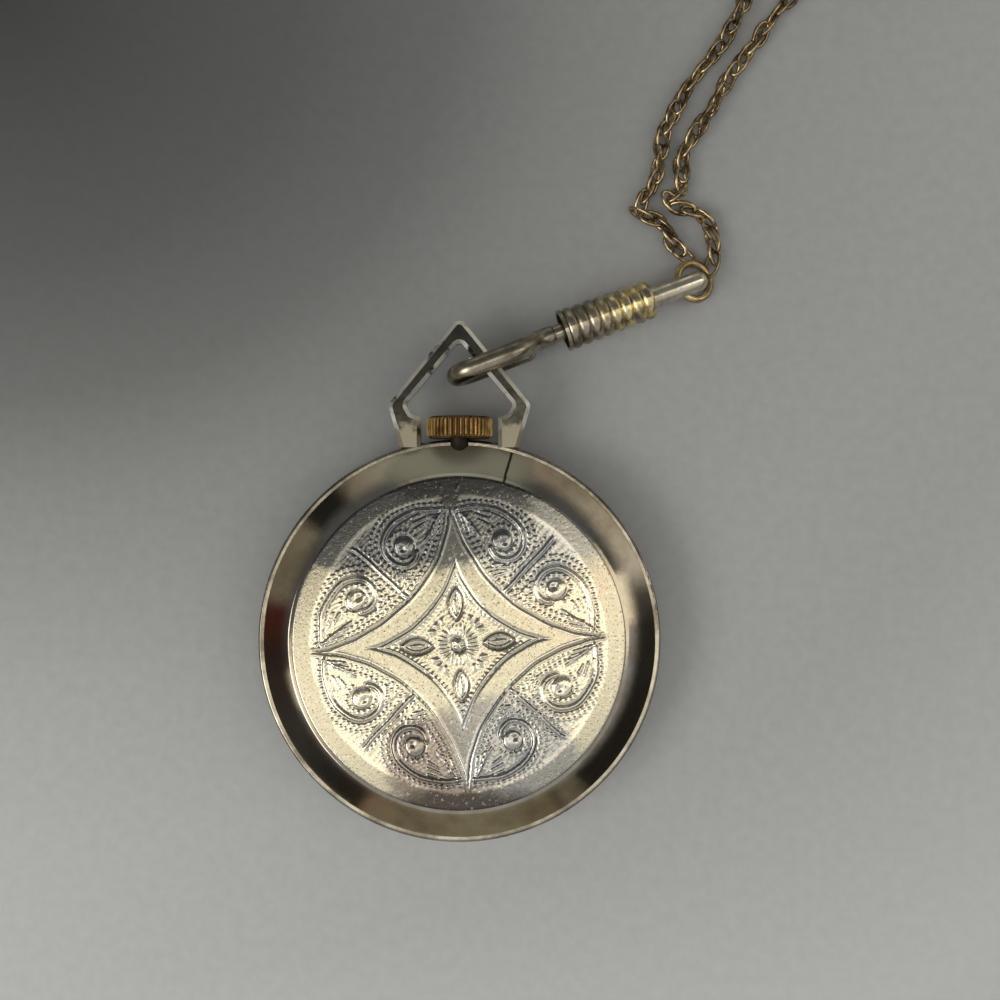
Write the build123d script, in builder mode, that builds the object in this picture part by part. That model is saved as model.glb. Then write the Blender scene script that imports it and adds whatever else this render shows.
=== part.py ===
# Pendant watch: a round hand-wound watch with a soldered bow, a spring-sleeve hook and a necklace.
# Millimetres. The origin is the centre of the crystal's flat front face, on which the watch lies.
# +Z goes up out of the embossed back, +Y towards the crown and bow, +X to the right.
import os
from math import acos, cos, degrees, hypot, pi, radians, sin, tan

from build123d import *

os.makedirs("parts", exist_ok=True)

# General fits
slip = 0.05
touch = 0.03
overrun = 1.0
quarter_turn = 90.0

# Thicknesses through the watch, from the crystal up to the back
crystal_thickness = 1.0
crystal_proud = 0.35
hand_space = 1.4
dial_thickness = 0.4
motion_space = 0.7
plate_thickness = 1.2
train_space = 1.3
bridge_thickness = 0.6
lid_space = 0.6
cover_edge = 0.45
cover_rise = 0.35

dial_front = crystal_thickness + hand_space
dial_back = dial_front + dial_thickness
plate_front = dial_back + motion_space
plate_back = plate_front + plate_thickness
bridge_front = plate_back + train_space
bridge_back = bridge_front + bridge_thickness
cover_seat = bridge_back + lid_space
stem_z = plate_back

# Case, made round the movement and the ring that holds it
movement_radius = 11.65
ring_space = 3.2
case_wall = 3.15
rim_thickness = 0.8
rim_round = 0.25
rim_step = 0.5
skirt_step = 0.6
skirt_cove = 0.6
band_width = 3.3
cover_groove = 0.25
cover_lap = 0.7
cover_round = 0.3
spigot_wall = 0.5
spigot_depth = 0.8
collar_wall = 0.5
collar_height = 0.9
bezel_lap = 0.2
bezel_flat = 2.2
bezel_drop = 1.3
crystal_inset = 4.2
crystal_bevel = 0.3
gasket_wall = 0.15
crystal_ledge = 0.8

case_bore = movement_radius + ring_space
case_radius = case_bore + case_wall
rim_front = stem_z - rim_thickness / 2
rim_back = stem_z + rim_thickness / 2
band_radius = case_radius - rim_step
skirt_radius = case_radius - skirt_step
cover_radius = case_radius - band_width
cone_top_radius = cover_radius + cover_groove
cover_bore = cover_radius - cover_lap
ring_bore = movement_radius + slip
ring_radius = case_bore - slip
ring_wall = ring_radius - ring_bore
collar_radius = case_bore + collar_wall
collar_back = rim_back + collar_height
bezel_back = dial_front + bezel_lap
crystal_radius = case_radius - crystal_inset
crystal_seat_radius = crystal_radius + gasket_wall


def polar(place, radius, angle):
    return (place[0] + radius * cos(radians(angle)), place[1] + radius * sin(radians(angle)))


def distance(a, b):
    return hypot(b[0] - a[0], b[1] - a[1])


def heading(a, b):
    turn = degrees(acos((b[0] - a[0]) / distance(a, b)))
    return turn if b[1] >= a[1] else -turn


# A ring or disc turned from an outline of radius and height
def turned(outline):
    with BuildPart() as made:
        with BuildSketch(Plane.XZ):
            with BuildLine():
                Polyline(outline, close=True)
            make_face()
        revolve(axis=Axis.Z)
    return made


# The stem, its tube and the crown lie on one line along +Y at the height of the rim
def stem_plane(y):
    return Plane(origin=(0, y, stem_z), x_dir=(1, 0, 0), z_dir=(0, 1, 0))


stem_radius = 0.5
tube_wall = 0.35
tube_bore = stem_radius + slip
tube_radius = tube_bore + tube_wall
tube_stands = 0.75
tube_end = case_radius + tube_stands

# Case middle: the rim, the skirt down to the bezel and the collar that the back ring is pressed on
with BuildPart() as case_middle:
    with BuildSketch(Plane.XZ):
        with BuildLine():
            Polyline(
                (case_bore, bezel_back),
                (skirt_radius, bezel_back),
                (skirt_radius, rim_front - skirt_cove),
                (case_radius, rim_front),
                (case_radius, rim_back),
                (collar_radius, rim_back),
                (collar_radius, collar_back),
                (case_bore, collar_back),
                close=True,
            )
        make_face()
    revolve(axis=Axis.Z)
    rim_edges = case_middle.edges().filter_by(GeomType.CIRCLE).sort_by(lambda e: e.radius)[-2:]
    fillet(rim_edges, radius=rim_round)
    with BuildSketch(stem_plane(movement_radius)):
        Circle(tube_radius)
    extrude(amount=case_radius + overrun - movement_radius, mode=Mode.SUBTRACT)

# Case tube: the short pipe that the stem runs in and the crown's skirt slides over
with BuildPart() as case_tube:
    with BuildSketch(stem_plane(case_bore)):
        Circle(tube_radius)
        Circle(tube_bore, mode=Mode.SUBTRACT)
    extrude(amount=tube_end - case_bore)

# Back ring: the polished cone between the rim and the embossed back
with BuildPart() as back_band:
    with BuildSketch(Plane.XZ):
        with BuildLine():
            Polyline(
                (band_radius, rim_back),
                (cone_top_radius, cover_seat),
                (cover_bore, cover_seat),
                (cover_bore, collar_back + slip),
                (collar_radius + touch, collar_back + slip),
                (collar_radius + touch, rim_back),
                close=True,
            )
        make_face()
    revolve(axis=Axis.Z)
    with BuildSketch(stem_plane(movement_radius)):
        Circle(tube_radius)
    extrude(amount=case_radius + overrun - movement_radius, mode=Mode.SUBTRACT)

# Back cover: the embossed disc, domed, with a turned-down edge and a snap spigot under it
cover_top = cover_seat + cover_edge
spigot_radius = cover_bore - slip
with BuildPart() as back_cover:
    with BuildSketch(Plane.XZ):
        with BuildLine():
            Polyline(
                (0, cover_top + cover_rise),
                (0, cover_seat),
                (spigot_radius - spigot_wall, cover_seat),
                (spigot_radius - spigot_wall, cover_seat - spigot_depth),
                (spigot_radius, cover_seat - spigot_depth),
                (spigot_radius, cover_seat),
                (cover_radius, cover_seat),
                (cover_radius, cover_top - cover_round),
            )
            RadiusArc(
                (cover_radius, cover_top - cover_round),
                (cover_radius - cover_round, cover_top),
                -cover_round,
            )
            TangentArc(
                (0, cover_top + cover_rise),
                (cover_radius - cover_round, cover_top),
                tangent=(1, 0),
            )
        make_face()
    revolve(axis=Axis.Z)

# Front bezel: holds the crystal and closes the case in front of the dial
bezel_opening = crystal_radius - crystal_ledge
bezel_front = crystal_proud
bezel_flat_radius = crystal_seat_radius + bezel_flat
with BuildPart() as front_bezel:
    with BuildSketch(Plane.XZ):
        with BuildLine():
            Polyline(
                (skirt_radius, bezel_front + bezel_drop),
                (skirt_radius, bezel_back),
                (case_bore, bezel_back),
                (case_bore, dial_front - slip),
                (bezel_opening, dial_front - slip),
                (bezel_opening, crystal_thickness),
                (crystal_seat_radius, crystal_thickness),
                (crystal_seat_radius, bezel_front),
                (bezel_flat_radius, bezel_front),
            )
            TangentArc(
                (bezel_flat_radius, bezel_front),
                (skirt_radius, bezel_front + bezel_drop),
                tangent=(1, 0),
            )
        make_face()
    revolve(axis=Axis.Z)

# Crystal: a flat clear disc with a bevelled front edge, and the gasket ring that grips it
crystal = turned(
    [
        (0, 0),
        (crystal_radius - crystal_bevel, 0),
        (crystal_radius, crystal_bevel),
        (crystal_radius, crystal_thickness),
        (0, crystal_thickness),
    ]
)
crystal_gasket = turned(
    [
        (crystal_radius, bezel_front),
        (crystal_seat_radius, bezel_front),
        (crystal_seat_radius, crystal_thickness),
        (crystal_radius, crystal_thickness),
    ]
)

# Bow: a flat triangular frame with bevelled edges, its two feet soldered to the rim
bow_thickness = 1.8
bow_window_height = 8.8
bow_frame = 2.2
bow_half_width = 6.4
bow_corner_height = 3.1
bow_foot_outer = 5.3
bow_sink = 0.7
bow_window_half_width = 4.8
bow_window_corner_height = 3.1
bow_window_low_half_width = 4.3
bow_window_low_height = 2.25
bow_foot_inner = 3.45
bow_foot_height = 1.96
bow_bevel = 0.35
bow_apex_round = 0.7
bow_corner_round = 0.8
bow_window_round = 0.45
bow_window_apex = case_radius + bow_window_height
bow_apex = bow_window_apex + bow_frame
bow_corner = case_radius + bow_corner_height
bow_window_corner = case_radius + bow_window_corner_height
bow_window_low = case_radius + bow_window_low_height
bow_foot_top = case_radius + bow_foot_height
bow_foot_end = case_radius - bow_sink
half_window = [
    (0, bow_window_apex),
    (bow_window_half_width, bow_window_corner),
    (bow_window_low_half_width, bow_window_low),
    (bow_foot_inner, bow_foot_top),
    (bow_foot_inner, bow_foot_end - overrun),
]
half_bow = [
    (0, bow_apex),
    (bow_half_width, bow_corner),
    (bow_foot_outer, bow_foot_end),
]


def both_sides(half):
    return half + [(-x, y) for x, y in reversed(half) if x]


with BuildPart() as bow:
    with BuildSketch(Plane.XY.offset(stem_z - bow_thickness / 2)):
        with BuildLine():
            Polyline(both_sides(half_bow), close=True)
        make_face()
        fillet(vertices().filter_by(lambda v: v.Y > bow_window_apex), radius=bow_apex_round)
        fillet(
            vertices().filter_by(lambda v: case_radius < v.Y < bow_window_apex),
            radius=bow_corner_round,
        )
    extrude(amount=bow_thickness)
    with BuildSketch(Plane.XY.offset(stem_z - bow_thickness / 2)):
        with BuildLine():
            Polyline(both_sides(half_window), close=True)
        make_face()
        fillet(vertices().filter_by(lambda v: v.Y > bow_foot_top), radius=bow_window_round)
    extrude(amount=bow_thickness, mode=Mode.SUBTRACT)
    flats = bow.faces().filter_by(Axis.Z)
    chamfer(flats.edges().filter_by(lambda e: e.center().Y > case_radius), length=bow_bevel)
    with BuildSketch(Plane.XZ):
        with BuildLine():
            Polyline(
                (0, bezel_back),
                (skirt_radius, bezel_back),
                (skirt_radius, rim_front - skirt_cove),
                (case_radius, rim_front),
                (case_radius, rim_back),
                (band_radius, rim_back),
                (cone_top_radius, cover_seat),
                (0, cover_seat),
                close=True,
            )
        make_face()
    revolve(axis=Axis.Z, mode=Mode.SUBTRACT)

# Crown: a knurled knob with a dished skirt that covers the tube's end
crown_radius = 2.95
crown_flute = 0.2
crown_flutes = 40
crown_length = 1.95
crown_gap = 0.1
crown_bevel = 0.3
crown_skirt_depth = 0.9
crown_skirt_radius = 1.5
crown_front = case_radius + crown_gap
tooth_shares = (0.0, 0.24, 0.5, 0.74)


# Outline of a toothed wheel: four points a tooth, root, tip, tip, root
def toothed(place, teeth, tip, depth):
    points = []
    for tooth in range(teeth):
        for share, radius in zip(tooth_shares, (tip - depth, tip, tip, tip - depth)):
            points.append(polar(place, radius, (tooth + share) * 360 / teeth))
    return points


with BuildPart() as crown:
    with BuildSketch(stem_plane(crown_front)):
        with BuildLine():
            Polyline(toothed((0, 0), crown_flutes, crown_radius, crown_flute), close=True)
        make_face()
    extrude(amount=crown_length)
    with BuildSketch(Plane(origin=(0, crown_front, stem_z), x_dir=(0, 1, 0), z_dir=(1, 0, 0))):
        with BuildLine():
            Polyline(
                (0, crown_radius - crown_bevel),
                (crown_bevel, crown_radius),
                (crown_length - crown_bevel, crown_radius),
                (crown_length, crown_radius - crown_bevel),
                (crown_length, crown_radius + overrun),
                (0, crown_radius + overrun),
                close=True,
            )
        make_face()
    revolve(axis=Axis((0, 0, stem_z), (0, 1, 0)), mode=Mode.SUBTRACT)
    with BuildSketch(stem_plane(crown_front)):
        Circle(crown_skirt_radius)
    extrude(amount=crown_skirt_depth, mode=Mode.SUBTRACT)
    with BuildSketch(stem_plane(crown_front)):
        Circle(stem_radius)
    extrude(amount=crown_length - crown_bevel, mode=Mode.SUBTRACT)

# Movement ring: the spacer between the movement and the case, and the dial's seat
movement_ring = turned(
    [
        (ring_bore, dial_back),
        (ring_radius, dial_back),
        (ring_radius, plate_back),
        (ring_bore, plate_back),
    ]
)
with BuildPart() as stem_passage:
    with BuildSketch(stem_plane(movement_radius - overrun)):
        Circle(tube_radius)
    extrude(amount=ring_wall + overrun + overrun)
movement_ring.part = movement_ring.part - stem_passage.part

# Places of the movement's arbors, seen from the back
barrel_place = (-4.85, 2.8)
centre_place = (0.0, 0.0)
third_place = (4.2, 1.5)
fourth_place = (5.82, -1.55)
escape_place = (3.73, -3.64)
pallet_place = (1.25, -4.71)
balance_place = (-2.4, -6.3)
crown_wheel_place = (0.0, 6.9)
minute_wheel_place = (1.5, 2.6)
setting_lever_place = (3.6, 10.35)
clutch_lever_place = (4.2, 7.75)
cock_foot = (1.5, -10.0)
barrel_feet = [(-10.3, -1.2), (-3.4, 10.2), (3.0, 9.6)]
train_feet = [(7.2, 7.6), (10.0, -4.2)]
dial_feet = [(-8.6, -5.0), (8.8, 4.5)]

# Levels, radii and tooth counts of the going train
mesh_gap = 0.05
level_gap = 0.11
wheel_plate = 0.15
tooth_depth = 0.22
pinion_depth = 0.2
wheel_rim = 0.55
spoke_width = 0.35
hub_radius = 0.7
arbor_radius = 0.12
pivot_bore = 0.15
pivot_depth = 0.5
pivot_inset = 0.1
centre_arbor_radius = 0.3
pinion_overlap = 0.12
barrel_radius = 5.0
centre_radius = 3.9
third_radius = 3.0
fourth_radius = 2.6
escape_radius = 2.2
barrel_teeth = 80
centre_teeth = 75
third_teeth = 80
fourth_teeth = 70
escape_teeth = 15
train_pinion_teeth = 10
escape_pinion_teeth = 7

escape_level = plate_back + level_gap
third_level = escape_level + wheel_plate + level_gap
fourth_level = third_level + wheel_plate + level_gap
centre_level = fourth_level + wheel_plate + 2 * level_gap
arbor_front = plate_back - pivot_depth
arbor_back = bridge_back - pivot_inset
centre_pinion = distance(barrel_place, centre_place) - barrel_radius - mesh_gap
third_pinion = distance(centre_place, third_place) - centre_radius - mesh_gap
fourth_pinion = distance(third_place, fourth_place) - third_radius - mesh_gap
escape_pinion = distance(fourth_place, escape_place) - fourth_radius - mesh_gap

# Levels of the barrel, which sits in a recess of the mainplate
recess_floor = 0.5
barrel_end_gap = 0.05
barrel_clearance = 0.1
barrel_wall = 0.2
drum_step = 0.3
barrel_tooth_width = 0.4
barrel_arbor_radius = 0.6
barrel_pivot_radius = 0.4
barrel_hub_radius = 1.2
barrel_front = plate_front + recess_floor + barrel_end_gap
barrel_back = fourth_level + wheel_plate + level_gap
drum_radius = barrel_radius - drum_step
barrel_tooth_front = plate_back + barrel_end_gap

# Keyless work along the stem
pinion_start = 8.6
pinion_length = 1.0
winding_pinion_radius = 1.5
winding_pinion_teeth = 16
clutch_start = 7.1
clutch_length = 1.3
clutch_radius = 1.0
clutch_groove = 0.3
clutch_groove_width = 0.4
square_half = 0.3
stem_tip_radius = 0.25
stem_tip_start = 5.3
stem_square_start = 6.5
stem_groove_radius = 0.3
stem_groove_width = 0.4
slot_half_width = 1.6


# A flat wheel with teeth, spokes, a pinion and an arbor in one piece
def train_wheel(place, teeth, tip, level, spokes, leaves, leaf_tip, leaf_front, leaf_back):
    with BuildPart() as made:
        with BuildSketch(Plane.XY.offset(level)):
            with BuildLine():
                Polyline(toothed(place, teeth, tip, tooth_depth), close=True)
            make_face()
            with Locations(place):
                Circle(tip - wheel_rim, mode=Mode.SUBTRACT)
                Circle(hub_radius)
                with PolarLocations(0, spokes):
                    Rectangle(tip - wheel_rim / 2, spoke_width, align=(Align.MIN, Align.CENTER))
        extrude(amount=wheel_plate)
        with BuildSketch(Plane.XY.offset(leaf_front)):
            with BuildLine():
                Polyline(toothed(place, leaves, leaf_tip, pinion_depth), close=True)
            make_face()
        extrude(amount=leaf_back - leaf_front)
        with BuildSketch(Plane.XY.offset(arbor_front)):
            with Locations(place):
                Circle(arbor_radius)
        extrude(amount=arbor_back - arbor_front)
    return made


# Mainplate: the round base with the barrel's recess, the stem's slot and every lower bearing
jewel_radius = 0.5
jewel_height = bridge_thickness
screw_shank = 0.35
screw_head_radius = 0.75
screw_head = 0.3
screw_slot_width = 0.16
screw_slot_depth = 0.12
screw_depth = 0.6
dial_foot_radius = 0.35
dial_foot_length = 1.2
lever_screw_radius = 0.3
post_radius = 0.25
post_end_gap = 0.12
train_places = [third_place, fourth_place, escape_place, balance_place, pallet_place]
pallet_line = heading(escape_place, balance_place)
pallet_bridge_reach = 2.4
pallet_feet = [
    polar(pallet_place, pallet_bridge_reach, pallet_line + turn)
    for turn in (quarter_turn, -quarter_turn)
]
bridge_screw_places = barrel_feet + train_feet + [cock_foot]
with BuildPart() as mainplate:
    with BuildSketch(Plane.XY.offset(plate_front)):
        Circle(movement_radius)
        Circle(centre_arbor_radius + slip, mode=Mode.SUBTRACT)
        with Locations(barrel_place):
            Circle(barrel_pivot_radius + slip, mode=Mode.SUBTRACT)
        with Locations((0, stem_square_start)):
            Rectangle(
                2 * slot_half_width,
                movement_radius,
                align=(Align.CENTER, Align.MIN),
                mode=Mode.SUBTRACT,
            )
        with Locations(setting_lever_place, clutch_lever_place):
            Circle(lever_screw_radius, mode=Mode.SUBTRACT)
        with Locations(dial_feet):
            Circle(dial_foot_radius + touch, mode=Mode.SUBTRACT)
    extrude(amount=plate_thickness)
    with BuildSketch(Plane.XY.offset(plate_front + recess_floor)):
        with Locations(barrel_place):
            Circle(barrel_radius + barrel_clearance)
    extrude(amount=plate_thickness, mode=Mode.SUBTRACT)
    with BuildSketch(Plane.XY.offset(plate_back - jewel_height)):
        with Locations(train_places):
            Circle(jewel_radius)
    extrude(amount=jewel_height, mode=Mode.SUBTRACT)
    with BuildSketch(Plane.XY.offset(plate_back - screw_depth)):
        with Locations(bridge_screw_places + pallet_feet):
            Circle(screw_shank)
    extrude(amount=screw_depth, mode=Mode.SUBTRACT)
    with BuildSketch(stem_plane(stem_tip_start - slip)):
        Circle(stem_tip_radius + slip)
    extrude(amount=stem_square_start - stem_tip_start + overrun, mode=Mode.SUBTRACT)
    with BuildSketch(Plane.XY.offset(plate_front)):
        with Locations(minute_wheel_place):
            Circle(post_radius)
    extrude(amount=post_end_gap - motion_space)

# Bridges: each a shaped piece of one flat disc, cut apart by a gap, standing on feet
bridge_inset = 0.35
bridge_radius = movement_radius - bridge_inset
foot_radius = 0.8
barrel_bridge_shares = [
    (-1.0, -0.2), (-0.13, -0.2), (-0.05, 0.13), (0.33, 0.42), (0.42, 1.0), (-1.0, 1.0),
]
train_bridge_shares = [
    (-0.1, -0.2), (-0.02, 0.1), (0.355, 0.385), (0.445, 1.0),
    (1.0, 1.0), (1.0, -0.6), (0.3, -0.48), (0.12, -0.25),
]


def shaped_bridge(shares, feet, jewel_places, bores):
    with BuildPart() as made:
        with BuildSketch(Plane.XY.offset(bridge_front)):
            with BuildLine():
                Polyline([(x * movement_radius, y * movement_radius) for x, y in shares], close=True)
            make_face()
            Circle(bridge_radius, mode=Mode.INTERSECT)
        extrude(amount=bridge_thickness)
        with BuildSketch(Plane.XY.offset(plate_back)):
            with Locations(feet):
                Circle(foot_radius)
        extrude(amount=train_space)
        with BuildSketch(Plane.XY.offset(plate_back)):
            with Locations(feet):
                Circle(screw_shank)
            for place, radius in bores:
                with Locations(place):
                    Circle(radius)
            if jewel_places:
                with Locations(jewel_places):
                    Circle(jewel_radius)
        extrude(amount=train_space + bridge_thickness, mode=Mode.SUBTRACT)
    return made


# The barrel bridge also carries the crown wheel in a recess that opens over the winding pinion
crown_wheel_radius = 2.4
crown_wheel_core = 0.5
crown_wheel_inset = 0.35
wheel_gap = 0.05
top_wheel = 0.3
pinion_window = 2.0
ratchet_radius = distance(barrel_place, crown_wheel_place) - crown_wheel_radius - mesh_gap
barrel_bridge = shaped_bridge(
    barrel_bridge_shares, barrel_feet, [], [(barrel_place, barrel_arbor_radius + slip)]
)
click_place = polar(barrel_place, ratchet_radius + hub_radius + slip, 100)
with BuildPart() as crown_wheel_seat:
    with BuildSketch(Plane.XY.offset(bridge_back - crown_wheel_inset)):
        with Locations(crown_wheel_place):
            Circle(crown_wheel_radius + slip)
            Circle(crown_wheel_core, mode=Mode.SUBTRACT)
    extrude(amount=crown_wheel_inset)
    with BuildSketch(Plane.XY.offset(bridge_front)):
        with Locations((0, pinion_start - slip)):
            Rectangle(pinion_window, pinion_length + 2 * slip, align=(Align.CENTER, Align.MIN))
    extrude(amount=bridge_thickness)
    with BuildSketch(Plane.XY.offset(bridge_front)):
        with Locations(crown_wheel_place, click_place):
            Circle(screw_shank)
    extrude(amount=bridge_thickness)
barrel_bridge.part = barrel_bridge.part - crown_wheel_seat.part
train_bridge = shaped_bridge(
    train_bridge_shares,
    train_feet,
    [third_place, fourth_place, escape_place],
    [(centre_place, centre_arbor_radius + slip)],
)

# Balance cock: a straight arm from its foot by the plate's edge to over the balance
cock_end_radius = 1.6
with BuildPart() as balance_cock:
    with BuildSketch(Plane.XY.offset(bridge_front)):
        with Locations(balance_place, cock_foot):
            Circle(cock_end_radius)
        with BuildLine():
            Line(balance_place, cock_foot)
        trace(line_width=2 * cock_end_radius)
        Circle(bridge_radius, mode=Mode.INTERSECT)
    extrude(amount=bridge_thickness)
    with BuildSketch(Plane.XY.offset(plate_back)):
        with Locations(cock_foot):
            Circle(foot_radius)
    extrude(amount=train_space)
    with BuildSketch(Plane.XY.offset(plate_back)):
        with Locations(cock_foot):
            Circle(screw_shank)
        with Locations(balance_place):
            Circle(jewel_radius)
    extrude(amount=train_space + bridge_thickness, mode=Mode.SUBTRACT)

# Pallet bridge: a narrow bar across the pallet arbor on two feet
pallet_bar_width = 0.9
pallet_bar_thickness = 0.4
pallet_foot_radius = 0.45
pallet_bar_front = escape_level + wheel_plate + level_gap
with BuildPart() as pallet_bridge:
    with BuildSketch(Plane.XY.offset(pallet_bar_front)):
        with BuildLine():
            Line(*pallet_feet)
        trace(line_width=pallet_bar_width)
        with Locations(pallet_feet):
            Circle(pallet_foot_radius)
        with Locations(pallet_place):
            Circle(pivot_bore, mode=Mode.SUBTRACT)
    extrude(amount=pallet_bar_thickness)
    with BuildSketch(Plane.XY.offset(plate_back)):
        with Locations(pallet_feet):
            Circle(pallet_foot_radius)
    extrude(amount=pallet_bar_front - plate_back)
    with BuildSketch(Plane.XY.offset(plate_back)):
        with Locations(pallet_feet):
            Circle(screw_shank)
    extrude(amount=pallet_bar_front + pallet_bar_thickness - plate_back, mode=Mode.SUBTRACT)


# Slotted screws: a shank from its depth up to the seat and a head on the seat
def screws(places, shank_radius, shank_start, seat, head_radius, head_height):
    with BuildPart() as made:
        with BuildSketch(Plane.XY.offset(shank_start)):
            with Locations(places):
                Circle(shank_radius)
        extrude(amount=seat - shank_start)
        with BuildSketch(Plane.XY.offset(seat)):
            with Locations(places):
                Circle(head_radius)
        extrude(amount=head_height)
        slot = min(screw_slot_depth, abs(head_height) / 2)
        with BuildSketch(Plane.XY.offset(seat + head_height)):
            with Locations(places):
                Rectangle(2 * head_radius, screw_slot_width)
        extrude(amount=-slot if head_height > 0 else slot, mode=Mode.SUBTRACT)
    return made


pallet_screw_head = 0.13
bridge_screws = screws(
    bridge_screw_places,
    screw_shank,
    plate_back - screw_depth,
    bridge_back,
    screw_head_radius,
    screw_head,
)
pallet_screws = screws(
    pallet_feet,
    screw_shank,
    plate_back - screw_depth,
    pallet_bar_front + pallet_bar_thickness,
    pallet_foot_radius,
    pallet_screw_head,
)

# Jewels: drilled rubies, one set in the mainplate and one in the bridges
with BuildPart() as jewels:
    for front, places in (
        (plate_back - jewel_height, train_places),
        (bridge_front, [third_place, fourth_place, escape_place, balance_place]),
    ):
        with BuildSketch(Plane.XY.offset(front)):
            with Locations(places):
                Circle(jewel_radius)
                Circle(pivot_bore, mode=Mode.SUBTRACT)
        extrude(amount=jewel_height)

# Barrel: a toothed drum, its snap-in lid, the coiled mainspring and the arbor it is wound by
lid_thickness = 0.2
drum_floor = 0.2
with BuildPart() as barrel:
    with BuildSketch(Plane.XY.offset(barrel_front)):
        with Locations(barrel_place):
            Circle(drum_radius)
    extrude(amount=barrel_back - barrel_front)
    with BuildSketch(Plane.XY.offset(barrel_tooth_front)):
        with BuildLine():
            Polyline(toothed(barrel_place, barrel_teeth, barrel_radius, tooth_depth), close=True)
        make_face()
    extrude(amount=barrel_tooth_width)
    with BuildSketch(Plane.XY.offset(barrel_front + drum_floor)):
        with Locations(barrel_place):
            Circle(drum_radius - barrel_wall)
    extrude(amount=barrel_back - barrel_front, mode=Mode.SUBTRACT)
    with BuildSketch(Plane.XY.offset(barrel_front)):
        with Locations(barrel_place):
            Circle(barrel_pivot_radius + slip)
    extrude(amount=drum_floor, mode=Mode.SUBTRACT)
with BuildPart() as barrel_lid:
    with BuildSketch(Plane.XY.offset(barrel_back - lid_thickness)):
        with Locations(barrel_place):
            Circle(drum_radius - barrel_wall)
            Circle(barrel_arbor_radius + slip, mode=Mode.SUBTRACT)
    extrude(amount=lid_thickness)

# Barrel arbor: pivot, hub and the long neck that carries the ratchet wheel on the bridge
hub_front = barrel_front + drum_floor + slip
hub_back = barrel_back - lid_thickness - slip
ratchet_front = bridge_back + wheel_gap
with BuildPart() as barrel_arbor:
    for radius, front, back in (
        (barrel_pivot_radius, plate_front + barrel_end_gap, hub_front),
        (barrel_hub_radius, hub_front, hub_back),
        (barrel_arbor_radius, hub_back, ratchet_front + top_wheel),
    ):
        with BuildSketch(Plane.XY.offset(front)):
            with Locations(barrel_place):
                Circle(radius)
        extrude(amount=back - front)


# A flat spiral of half circles whose radius grows by half a pitch each half turn
def spiral_line(place, inner, pitch, half_turns):
    x, y = place
    end, side = (x + inner, y), 1
    radius = inner
    for _ in range(half_turns):
        radius = radius + pitch / 4
        centre_x = end[0] - side * radius
        far = (centre_x - side * radius, y)
        ThreePointArc(end, (centre_x, y + side * radius), far)
        end, side = far, -side
        radius = radius + pitch / 4


spring_strip = 0.1
spring_pitch = 0.36
spring_half_turns = 16
spring_inset = 0.05
with BuildPart() as mainspring:
    with BuildSketch(Plane.XY.offset(hub_front + spring_inset)):
        with BuildLine():
            spiral_line(barrel_place, barrel_hub_radius + spring_strip, spring_pitch, spring_half_turns)
        trace(line_width=spring_strip)
    extrude(amount=hub_back - hub_front - 2 * spring_inset)

# Ratchet wheel and crown wheel on the barrel bridge, each held by a screw, and the click
ratchet_teeth = 50
crown_wheel_teeth = 30
top_tooth_depth = 0.25
with BuildPart() as ratchet_wheel:
    with BuildSketch(Plane.XY.offset(ratchet_front)):
        with BuildLine():
            Polyline(toothed(barrel_place, ratchet_teeth, ratchet_radius, top_tooth_depth), close=True)
        make_face()
        with Locations(barrel_place):
            Circle(barrel_arbor_radius, mode=Mode.SUBTRACT)
    extrude(amount=top_wheel)
ratchet_screw_head = 0.16
ratchet_screw_depth = 0.4
ratchet_screw = screws(
    [barrel_place],
    screw_shank,
    ratchet_front + top_wheel - ratchet_screw_depth,
    ratchet_front + top_wheel,
    screw_head_radius,
    ratchet_screw_head,
)
with BuildPart() as screw_bore:
    with BuildSketch(Plane.XY.offset(ratchet_front + top_wheel - ratchet_screw_depth)):
        with Locations(barrel_place):
            Circle(screw_shank)
    extrude(amount=ratchet_screw_depth)
barrel_arbor.part = barrel_arbor.part - screw_bore.part
crown_wheel_front = bridge_back - crown_wheel_inset + wheel_gap
crown_wheel_back = ratchet_front + top_wheel
with BuildPart() as crown_wheel:
    with BuildSketch(Plane.XY.offset(crown_wheel_front)):
        with BuildLine():
            Polyline(
                toothed(crown_wheel_place, crown_wheel_teeth, crown_wheel_radius, top_tooth_depth),
                close=True,
            )
        make_face()
        with Locations(crown_wheel_place):
            Circle(crown_wheel_core + slip, mode=Mode.SUBTRACT)
    extrude(amount=crown_wheel_back - crown_wheel_front)
crown_wheel_screw = screws(
    [crown_wheel_place],
    screw_shank,
    bridge_front,
    crown_wheel_back + slip,
    screw_head_radius + slip,
    ratchet_screw_head - slip,
)
with BuildPart() as crown_wheel_collar:
    with BuildSketch(Plane.XY.offset(bridge_back)):
        with Locations(crown_wheel_place):
            Circle(crown_wheel_core)
    extrude(amount=crown_wheel_back + slip - bridge_back)
crown_wheel_screw.part = crown_wheel_screw.part + crown_wheel_collar.part

# Click: a short pawl on a shouldered screw beside the ratchet wheel
click_thickness = 0.24
click_radius = 0.6
click_length = 1.6
click_width = 0.5
click_tip_gap = 0.04
click_heading = heading(click_place, barrel_place) - 62
with BuildPart() as click:
    with BuildSketch(Plane.XY.offset(ratchet_front)):
        with Locations(click_place):
            Circle(click_radius)
        with BuildLine():
            Line(click_place, polar(click_place, click_length, click_heading))
        trace(line_width=click_width)
        with Locations(click_place):
            Circle(screw_shank + slip, mode=Mode.SUBTRACT)
        with Locations(barrel_place):
            Circle(ratchet_radius + click_tip_gap, mode=Mode.SUBTRACT)
    extrude(amount=click_thickness)
click_screw = screws(
    [click_place],
    screw_shank,
    bridge_front,
    ratchet_front + click_thickness + slip,
    screw_head_radius - mesh_gap,
    ratchet_screw_head,
)

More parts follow.
